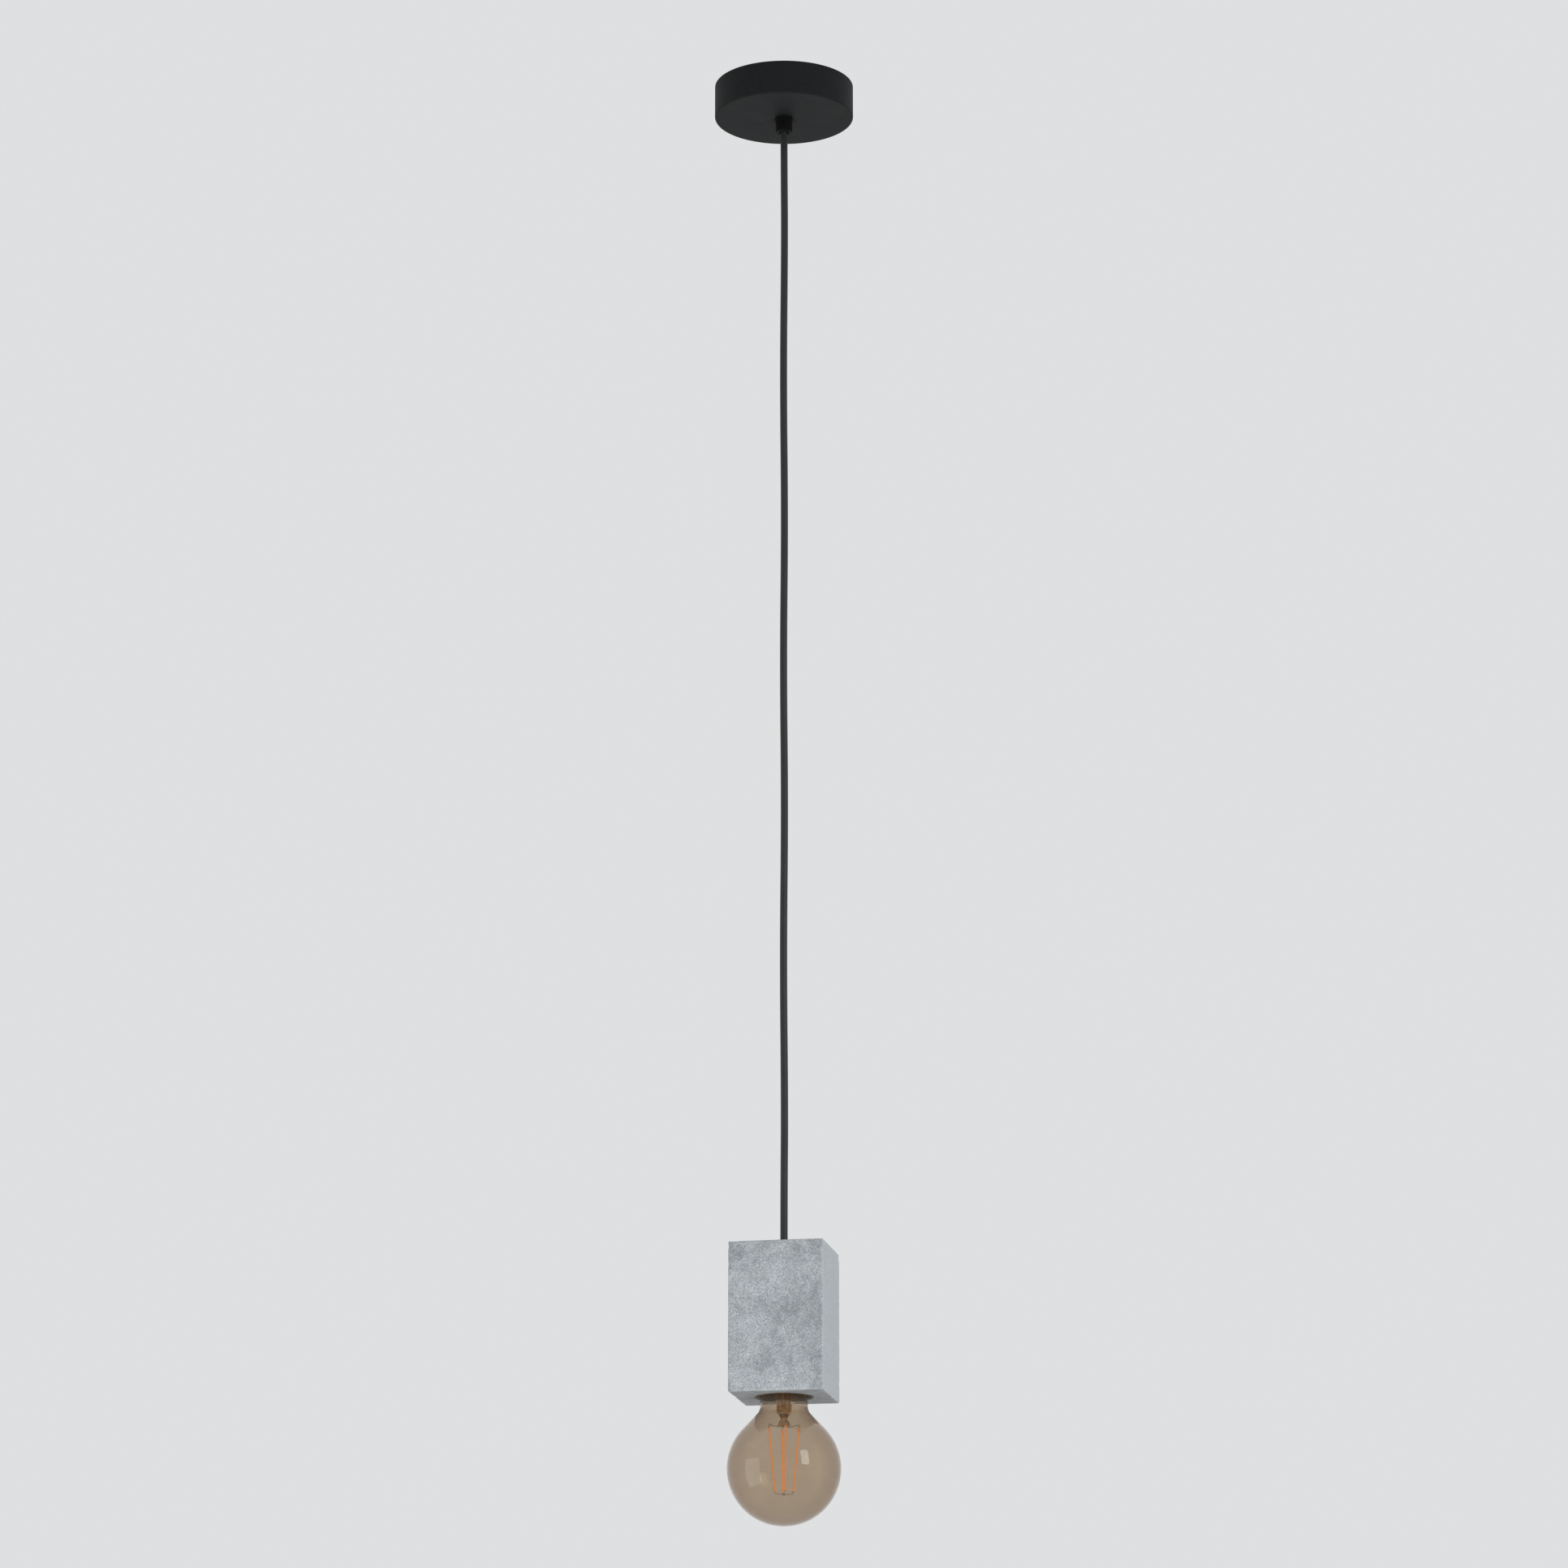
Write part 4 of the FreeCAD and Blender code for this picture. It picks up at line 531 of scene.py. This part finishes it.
def powder_coat():
    """Matt black polyester powder, sprayed on pressed steel and baked: fine orange peel and no gloss, with
    painted shade on the grip below the canopy.
    """
    material, tree, place = begin("powder_coat")
    peel = put(tree, "TexNoise", {"Vector": place, "Scale": 1 / (1.1 * MM), "Detail": 3.0}).outputs["Fac"]
    spray = put(tree, "TexNoise", {"Vector": place, "Scale": 1 / (14 * MM), "Detail": 2.0}).outputs["Fac"]
    tint = put(tree, "Mix", {"Factor": peel, "A": rgb("121314"), "B": rgb("262728")}, data_type="RGBA")
    height = put(tree, "SeparateXYZ", {"Vector": place}).outputs["Z"]
    # The grip and its set screw, below the canopy, are painted a deeper black than the cup: partly a darker
    # finish, partly painted shade under the canopy.
    grip = put(tree, "MapRange", {
        "Value": height, "From Min": -26.2 * MM, "From Max": -25.6 * MM, "To Min": 1.0, "To Max": 0.0,
    })
    shade = put(tree, "Mix", {
        "Factor": grip.outputs["Result"], "A": tint.outputs["Result"], "B": rgb("0a0a0b"),
    }, data_type="RGBA")
    rough = put(tree, "MapRange", {"Value": spray, "To Min": 0.60, "To Max": 0.72})
    skin = put(tree, "Bump", {"Height": peel, "Strength": 0.8, "Distance": 0.14 * MM})
    shader = put(tree, "BsdfPrincipled", {
        "Base Color": shade.outputs["Result"], "Roughness": rough.outputs["Result"],
        "Normal": skin.outputs["Normal"], "Specular IOR Level": 0.12,
    }).outputs["BSDF"]
    put(tree, "OutputMaterial", {"Surface": shader})
    return material


def moulded(name, light, dark, grain, rough_low, rough_high, ior=1.5):
    """Injection-moulded plastic: the mould's spark-eroded grain, a little uneven in tone where it flowed."""
    material, tree, place = begin(name)
    flow = put(tree, "TexNoise", {"Vector": place, "Scale": 1 / (6 * MM), "Detail": 3.0}).outputs["Fac"]
    spark = put(tree, "TexNoise", {"Vector": place, "Scale": 1 / grain, "Detail": 4.0}).outputs["Fac"]
    tint = put(tree, "Mix", {"Factor": flow, "A": rgb(dark), "B": rgb(light)}, data_type="RGBA")
    rough = put(tree, "MapRange", {"Value": spark, "To Min": rough_low, "To Max": rough_high})
    skin = put(tree, "Bump", {"Height": spark, "Strength": 0.4, "Distance": 0.05 * MM})
    shader = put(tree, "BsdfPrincipled", {
        "Base Color": tint.outputs["Result"], "Roughness": rough.outputs["Result"],
        "Normal": skin.outputs["Normal"], "IOR": ior,
    }).outputs["BSDF"]
    put(tree, "OutputMaterial", {"Surface": shader})
    return material


def plated(name, light, dark, rough_low, rough_high, lines=0.35 * MM, depth=0.012 * MM):
    """Plated or bare metal: lines from rolling or turning, and patches where the finish took unevenly.

    The real lines are finer than 0.1 mm: drawn coarser so that they show.
    """
    material, tree, place = begin(name)
    patches = put(tree, "TexNoise", {"Vector": place, "Scale": 1 / (4 * MM), "Detail": 5.0}).outputs["Fac"]
    wide = put(tree, "Mapping", {"Vector": place, "Scale": (0.15, 1.0, 1.0)}).outputs["Vector"]
    drawn = put(tree, "TexNoise", {"Vector": wide, "Scale": 1 / lines, "Detail": 2.0}).outputs["Fac"]
    tint = put(tree, "Mix", {"Factor": patches, "A": rgb(dark), "B": rgb(light)}, data_type="RGBA")
    rough = put(tree, "MapRange", {"Value": patches, "To Min": rough_low, "To Max": rough_high})
    skin = put(tree, "Bump", {"Height": drawn, "Strength": 0.5, "Distance": depth})
    shader = put(tree, "BsdfPrincipled", {
        "Base Color": tint.outputs["Result"], "Roughness": rough.outputs["Result"],
        "Normal": skin.outputs["Normal"], "Metallic": 1.0,
    }).outputs["BSDF"]
    put(tree, "OutputMaterial", {"Surface": shader})
    return material


def insulation(name, light, dark):
    """Extruded PVC on a wire: glossy, with a faint drag along it from the die."""
    material, tree, place = begin(name)
    drag = put(tree, "TexNoise", {"Vector": place, "Scale": 1 / (1.5 * MM), "Detail": 3.0}).outputs["Fac"]
    tint = put(tree, "Mix", {"Factor": drag, "A": rgb(dark), "B": rgb(light)}, data_type="RGBA")
    rough = put(tree, "MapRange", {"Value": drag, "To Min": 0.26, "To Max": 0.40})
    skin = put(tree, "Bump", {"Height": drag, "Strength": 0.3, "Distance": 0.03 * MM})
    shader = put(tree, "BsdfPrincipled", {
        "Base Color": tint.outputs["Result"], "Roughness": rough.outputs["Result"],
        "Normal": skin.outputs["Normal"], "IOR": 1.53,
    }).outputs["BSDF"]
    put(tree, "OutputMaterial", {"Surface": shader})
    return material


def striped_insulation():
    """Green PVC with a yellow stripe run in beside it, so that the earth wire is never mistaken."""
    material, tree, place = begin("earth_pvc")
    facing = put(tree, "TexCoord").outputs["Normal"]
    sideways = put(tree, "SeparateXYZ", {"Vector": facing}).outputs["X"]
    drag = put(tree, "TexNoise", {"Vector": place, "Scale": 1 / (1.5 * MM), "Detail": 3.0}).outputs["Fac"]
    stripe = put(tree, "MapRange", {"Value": sideways, "From Min": 0.05, "From Max": 0.15}).outputs["Result"]
    tint = put(tree, "Mix", {"Factor": stripe, "A": rgb("1e7a3a"), "B": rgb("e3c51f")}, data_type="RGBA")
    rough = put(tree, "MapRange", {"Value": drag, "To Min": 0.26, "To Max": 0.40})
    skin = put(tree, "Bump", {"Height": drag, "Strength": 0.3, "Distance": 0.03 * MM})
    shader = put(tree, "BsdfPrincipled", {
        "Base Color": tint.outputs["Result"], "Roughness": rough.outputs["Result"],
        "Normal": skin.outputs["Normal"], "IOR": 1.53,
    }).outputs["BSDF"]
    put(tree, "OutputMaterial", {"Surface": shader})
    return material


def cord_sheath():
    """Black PVC sheath over two laid-up cores: satin, with the cores' lay just showing as slow ripples."""
    material, tree, place = begin("pvc_sheath")
    long = put(tree, "Mapping", {"Vector": place, "Scale": (1.0, 1.0, 0.12)}).outputs["Vector"]
    drag = put(tree, "TexNoise", {"Vector": long, "Scale": 1 / (1.0 * MM), "Detail": 3.0}).outputs["Fac"]
    lay = put(tree, "TexNoise", {"Vector": place, "Scale": 1 / (22 * MM), "Detail": 1.0}).outputs["Fac"]
    tint = put(tree, "Mix", {"Factor": lay, "A": rgb("191a1b"), "B": rgb("222324")}, data_type="RGBA")
    rough = put(tree, "MapRange", {"Value": drag, "To Min": 0.34, "To Max": 0.46})
    skin = put(tree, "Bump", {"Height": drag, "Strength": 0.35, "Distance": 0.05 * MM})
    shader = put(tree, "BsdfPrincipled", {
        "Base Color": tint.outputs["Result"], "Roughness": rough.outputs["Result"],
        "Normal": skin.outputs["Normal"], "IOR": 1.53, "Specular IOR Level": 0.35,
    }).outputs["BSDF"]
    put(tree, "OutputMaterial", {"Surface": shader})
    return material


def concrete():
    """Fine cast concrete, sealed: cloudy where cement bled, speckled with sand, some pores and hairlines."""
    material, tree, place = begin("cast_concrete")
    drift = put(tree, "TexNoise", {"Vector": place, "Scale": 1 / (45 * MM), "Detail": 2.0}).outputs["Color"]
    swirl = put(tree, "Mix", {"Factor": 0.022, "A": place, "B": drift}, data_type="VECTOR")
    flow = swirl.outputs["Result"]
    clouds = put(tree, "TexNoise", {"Vector": flow, "Scale": 1 / (26 * MM), "Detail": 5.0, "Roughness": 0.62})
    wisps = put(tree, "TexNoise", {"Vector": flow, "Scale": 1 / (7 * MM), "Detail": 4.0, "Roughness": 0.6})
    # Sand grains are about 0.4 mm: drawn at 1.0 mm so that they show.
    sand = put(tree, "TexNoise", {"Vector": place, "Scale": 1 / (1.0 * MM), "Detail": 4.0, "Roughness": 0.7})
    tone = put(tree, "ValToRGB", {"Fac": clouds.outputs["Fac"]})
    darkest, palest = tone.color_ramp.elements
    darkest.position = 0.34
    darkest.color = rgb("878c90")
    palest.position = 0.68
    palest.color = rgb("a5aaae")
    bleed = put(tree, "MapRange", {
        "Value": wisps.outputs["Fac"], "From Min": 0.44, "From Max": 0.74, "To Min": 0.0, "To Max": 0.50,
    })
    milky = put(tree, "Mix", {
        "Factor": bleed.outputs["Result"], "A": tone.outputs["Color"], "B": rgb("b8bdc1"),
    }, data_type="RGBA")
    # The two side faces are more even than the front and back.
    facing = put(tree, "TexCoord").outputs["Normal"]
    sideways = put(tree, "SeparateXYZ", {"Vector": facing}).outputs["X"]
    side = put(tree, "Math", {0: sideways}, operation="ABSOLUTE").outputs["Value"]
    evened = put(tree, "MapRange", {
        "Value": side, "From Min": 0.6, "From Max": 0.9, "To Min": 0.0, "To Max": 0.85,
    })
    cast = put(tree, "Mix", {
        "Factor": evened.outputs["Result"], "A": milky.outputs["Result"], "B": rgb("a9aeb2"),
    }, data_type="RGBA")
    gritty = put(tree, "MapRange", {
        "Value": side, "From Min": 0.6, "From Max": 0.9, "To Min": 0.42, "To Max": 0.22,
    })
    sandy = put(tree, "MapRange", {
        "Value": sand.outputs["Fac"], "From Min": 0.32, "From Max": 0.68, "To Min": -1.0, "To Max": 1.0,
    }, clamp=False)
    grain = put(tree, "Math", {
        0: sandy.outputs["Result"], 1: gritty.outputs["Result"], 2: 1.0,
    }, operation="MULTIPLY_ADD")
    # Curly hairlines, where the paste crazed as it dried, are hardly 0.1 mm wide: drawn at about 0.5 mm.
    crazed = put(tree, "TexNoise", {"Vector": flow, "Scale": 1 / (6 * MM), "Detail": 1.0, "Distortion": 2.2})
    off = put(tree, "Math", {0: crazed.outputs["Fac"], 1: 0.5}, operation="SUBTRACT").outputs["Value"]
    apart = put(tree, "Math", {0: off}, operation="ABSOLUTE").outputs["Value"]
    hair = put(tree, "MapRange", {"Value": apart, "From Max": 0.035, "To Min": 0.12, "To Max": 0.0})
    bright = put(tree, "Math", {
        0: grain.outputs["Value"], 1: hair.outputs["Result"],
    }, operation="ADD").outputs["Value"]
    speckled = put(tree, "VectorMath", {0: cast.outputs["Result"], "Scale": bright}, operation="SCALE")
    cells = put(tree, "TexVoronoi", {"Vector": flow, "Scale": 1 / (5 * MM)}, feature="F1").outputs["Distance"]
    pores = put(tree, "MapRange", {
        "Value": cells, "From Min": 0.05, "From Max": 0.11, "To Min": 1.0, "To Max": 0.0,
    }).outputs["Result"]
    # Edges painted paler: partly rubbed lighter with use, partly a painted highlight where the rounded edges
    # catch the light.
    edge_wear_and_highlight = put(tree, "Attribute", attribute_name="wear_and_edge_highlight").outputs["Fac"]
    pale = put(tree, "MapRange", {
        "Value": edge_wear_and_highlight, "From Min": 0.5, "From Max": 1.0, "To Min": 0.0, "To Max": 0.30,
    })
    rubbed_and_lit_edges = put(tree, "Mix", {
        "Factor": pale.outputs["Result"], "A": speckled.outputs["Vector"], "B": rgb("c3c8cb"),
    }, data_type="RGBA")
    # Scratches and pores are painted darker: painted shade in these small recesses.
    scratch = put(tree, "Attribute", attribute_name="scratched").outputs["Fac"]
    dark = put(tree, "Math", {0: scratch, 1: pores}, operation="MAXIMUM").outputs["Value"]
    depth = put(tree, "Math", {0: dark, 1: 0.45}, operation="MULTIPLY").outputs["Value"]
    tint = put(tree, "Mix", {
        "Factor": depth, "A": rubbed_and_lit_edges.outputs["Result"], "B": rgb("6f7477"),
    }, data_type="RGBA")
    rough = put(tree, "MapRange", {"Value": clouds.outputs["Fac"], "To Min": 0.74, "To Max": 0.90})
    sanded = put(tree, "Math", {0: sand.outputs["Fac"], 1: dark}, operation="SUBTRACT").outputs["Value"]
    skin = put(tree, "Bump", {"Height": sanded, "Strength": 0.6, "Distance": 0.16 * MM})
    shader = put(tree, "BsdfPrincipled", {
        "Base Color": tint.outputs["Result"], "Roughness": rough.outputs["Result"],
        "Normal": skin.outputs["Normal"], "IOR": 1.5,
    }).outputs["BSDF"]
    put(tree, "OutputMaterial", {"Surface": shader})
    return material


def tinted_glass():
    """Amber-sprayed soda glass, blown thin: grey-brown face on, browner where sight runs along the wall."""
    material, tree, place = begin("amber_soda_glass")
    streaks = put(tree, "TexNoise", {"Vector": place, "Scale": 1 / (18 * MM), "Detail": 2.0}).outputs["Fac"]
    ripple = put(tree, "TexNoise", {"Vector": place, "Scale": 1 / (11 * MM), "Detail": 1.0}).outputs["Fac"]
    even = put(tree, "Mix", {"Factor": streaks, "A": rgb("d0c2b1"), "B": rgb("d8cdbd")}, data_type="RGBA")
    slant = put(tree, "LayerWeight", {"Blend": 0.5}).outputs["Facing"]
    deep = put(tree, "MapRange", {"Value": slant, "From Min": 0.25, "From Max": 0.95, "To Max": 0.9})
    tint = put(tree, "Mix", {
        "Factor": deep.outputs["Result"], "A": even.outputs["Result"], "B": rgb("8f6a46"),
    }, data_type="RGBA")
    rough = put(tree, "MapRange", {"Value": ripple, "To Min": 0.0, "To Max": 0.003})
    skin = put(tree, "Bump", {"Height": ripple, "Strength": 0.10, "Distance": 0.02 * MM})
    glass = put(tree, "BsdfPrincipled", {
        "Base Color": tint.outputs["Result"], "Roughness": rough.outputs["Result"],
        "Normal": skin.outputs["Normal"], "Transmission Weight": 1.0, "IOR": 1.46,
    })
    lamp_way = put(tree, "BsdfTransparent", {"Color": even.outputs["Result"]})
    shadow = put(tree, "LightPath").outputs["Is Shadow Ray"]
    mixed = put(tree, "MixShader", {0: shadow, 1: glass.outputs["BSDF"], 2: lamp_way.outputs["BSDF"]})
    put(tree, "OutputMaterial", {"Surface": mixed.outputs["Shader"]})
    return material


def streaked_glass():
    """Lead glass drawn into a tube and pinched hot: long brown streaks, still clear between them."""
    material, tree, place = begin("drawn_lead_glass")
    long = put(tree, "Mapping", {"Vector": place, "Scale": (1.0, 1.0, 0.10)}).outputs["Vector"]
    streaks = put(tree, "TexNoise", {"Vector": long, "Scale": 1 / (1.3 * MM), "Detail": 3.0}).outputs["Fac"]
    drawn = put(tree, "MapRange", {"Value": streaks, "From Min": 0.38, "From Max": 0.62}).outputs["Result"]
    tint = put(tree, "Mix", {"Factor": drawn, "A": rgb("bda17c"), "B": rgb("f4e7d0")}, data_type="RGBA")
    rough = put(tree, "MapRange", {"Value": streaks, "To Min": 0.02, "To Max": 0.12})
    skin = put(tree, "Bump", {"Height": streaks, "Strength": 0.4, "Distance": 0.10 * MM})
    glass = put(tree, "BsdfPrincipled", {
        "Base Color": tint.outputs["Result"], "Roughness": rough.outputs["Result"],
        "Normal": skin.outputs["Normal"], "Transmission Weight": 0.85, "IOR": 1.56,
    })
    lamp_way = put(tree, "BsdfTransparent", {"Color": tint.outputs["Result"]})
    shadow = put(tree, "LightPath").outputs["Is Shadow Ray"]
    mixed = put(tree, "MixShader", {0: shadow, 1: glass.outputs["BSDF"], 2: lamp_way.outputs["BSDF"]})
    put(tree, "OutputMaterial", {"Surface": mixed.outputs["Shader"]})
    return material


def coated_strip():
    """Silicone full of phosphor over a row of tiny dies: opaque amber, a shade deeper over each die."""
    material, tree, place = begin("phosphor_silicone_painted_glow")
    height = put(tree, "SeparateXYZ", {"Vector": place}).outputs["Z"]
    row = put(tree, "Math", {0: height, 1: math.tau / DIE_PITCH}, operation="MULTIPLY").outputs["Value"]
    die = put(tree, "Math", {0: row}, operation="SINE").outputs["Value"]
    patchy = put(tree, "TexNoise", {"Vector": place, "Scale": 1 / (0.9 * MM), "Detail": 2.0}).outputs["Fac"]
    share = put(tree, "MapRange", {
        "Value": die, "From Min": -1.0, "To Min": 0.2, "To Max": 0.8,
    }).outputs["Result"]
    tint = put(tree, "Mix", {"Factor": share, "A": rgb("ee9638"), "B": rgb("f7aa52")}, data_type="RGBA")
    rough = put(tree, "MapRange", {"Value": patchy, "To Min": 0.40, "To Max": 0.55})
    skin = put(tree, "Bump", {"Height": patchy, "Strength": 0.3, "Distance": 0.05 * MM})
    shader = put(tree, "BsdfPrincipled", {
        "Base Color": tint.outputs["Result"], "Roughness": rough.outputs["Result"],
        "Normal": skin.outputs["Normal"], "IOR": 1.42,
        "Subsurface Weight": 0.15, "Subsurface Scale": 0.5 * MM,
        # A painted glow: the unlit filaments give off a little light of their own, so that they read
        # brighter.
        "Emission Color": rgb("ffa64c"), "Emission Strength": 0.32,
    }).outputs["BSDF"]
    put(tree, "OutputMaterial", {"Surface": shader})
    return material


def baked(name, light, dark, grain, rough_low, rough_high):
    """Fired or baked mineral, such as porcelain or cap cement: dull, dusty, speckled with its own grit."""
    material, tree, place = begin(name)
    grit = put(tree, "TexNoise", {"Vector": place, "Scale": 1 / grain, "Detail": 5.0}).outputs["Fac"]
    tint = put(tree, "Mix", {"Factor": grit, "A": rgb(dark), "B": rgb(light)}, data_type="RGBA")
    rough = put(tree, "MapRange", {"Value": grit, "To Min": rough_low, "To Max": rough_high})
    skin = put(tree, "Bump", {"Height": grit, "Strength": 0.4, "Distance": 0.06 * MM})
    shader = put(tree, "BsdfPrincipled", {
        "Base Color": tint.outputs["Result"], "Roughness": rough.outputs["Result"],
        "Normal": skin.outputs["Normal"], "IOR": 1.5,
    }).outputs["BSDF"]
    put(tree, "OutputMaterial", {"Surface": shader})
    return material


def board():
    """Glass-epoxy board under green lacquer, with copper tracks that show through as paler lines."""
    material, tree, place = begin("lacquered_board")
    tracks = put(tree, "TexVoronoi", {"Vector": place, "Scale": 1 / (2.2 * MM)}, feature="DISTANCE_TO_EDGE")
    line = put(tree, "MapRange", {"Value": tracks.outputs["Distance"], "From Min": 0.10, "From Max": 0.16})
    weave = put(tree, "TexNoise", {"Vector": place, "Scale": 1 / (0.6 * MM), "Detail": 2.0}).outputs["Fac"]
    tint = put(tree, "Mix", {
        "Factor": line.outputs["Result"], "A": rgb("4f8a4c"), "B": rgb("1d5a31"),
    }, data_type="RGBA")
    rough = put(tree, "MapRange", {"Value": weave, "To Min": 0.22, "To Max": 0.36})
    skin = put(tree, "Bump", {"Height": line.outputs["Result"], "Strength": 0.3, "Distance": 0.04 * MM})
    shader = put(tree, "BsdfPrincipled", {
        "Base Color": tint.outputs["Result"], "Roughness": rough.outputs["Result"],
        "Normal": skin.outputs["Normal"], "IOR": 1.55,
    }).outputs["BSDF"]
    put(tree, "OutputMaterial", {"Surface": shader})
    return material


def finishes():
    """Every material slot of the lamp with the material that it gets."""
    return {
        "black_paint": powder_coat(),
        "zinc_steel": plated("bright_zinc_plate", "cfd3d6", "b4b9be", 0.26, 0.44),
        "terminal_plastic": moulded("natural_nylon", "e9e4d6", "dcd6c6", 0.5 * MM, 0.42, 0.56, 1.53),
        "brass": plated("rolled_brass", "dcb45f", "c49a48", 0.24, 0.40),
        "tinned_lug": plated("tinned_brass", "d8d8d4", "bdbdb8", 0.30, 0.46),
        "live_insulation": insulation("brown_pvc", "6e4428", "5a3520"),
        "neutral_insulation": insulation("blue_pvc", "2c66b4", "22539a"),
        "earth_insulation": striped_insulation(),
        "copper": plated("bare_copper_strand", "e29a72", "c87a52", 0.24, 0.38, 0.2 * MM, 0.04 * MM),
        "cable_sheath": cord_sheath(),
        "concrete": concrete(),
        "black_nylon": moulded("black_nylon", "262626", "1b1b1b", 0.5 * MM, 0.44, 0.58, 1.53),
        "black_phenolic": moulded("black_phenolic", "211f1e", "151414", 0.9 * MM, 0.22, 0.34, 1.6),
        "porcelain": baked("unglazed_porcelain", "efece4", "e0dcd0", 0.6 * MM, 0.55, 0.72),
        "amber_glass": tinted_glass(),
        "cap_metal": plated("rolled_aluminium", "d5d6d8", "c0c2c5", 0.24, 0.38),
        "cement": baked("cap_cement", "ddd6c6", "c6bda8", 0.5 * MM, 0.78, 0.92),
        "black_glass": moulded("fused_black_glass", "15151c", "0c0c11", 1.5 * MM, 0.06, 0.14, 1.52),
        "clear_glass": streaked_glass(),
        "filament_phosphor": coated_strip(),
        "filament_metal": plated("nickel_wire", "c9c4bb", "b2ada4", 0.20, 0.34),
        "circuit_board": board(),
        "component_plastic": moulded("black_epoxy", "29292a", "1c1c1d", 0.4 * MM, 0.36, 0.5),
    }


def dress(made):
    """Puts each slot's material on the new pieces and on the frame's own nodes."""
    looks = finishes()
    for node in frame["record"]["subparts"]:
        data = frame["nodes"][node["node"]].data
        data.materials.clear()
        data.materials.append(looks[node["material_slot"]])
    for new in made:
        new.data.materials.clear()
        new.data.materials.append(looks[new["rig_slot"]])


def main():
    camera()
    made = [cord()]
    made += [canopy_shell(), cast_block(), globe(), stem()]
    made += [filament(step) for step in range(FILAMENTS)]
    dress(made)
    room()


main()
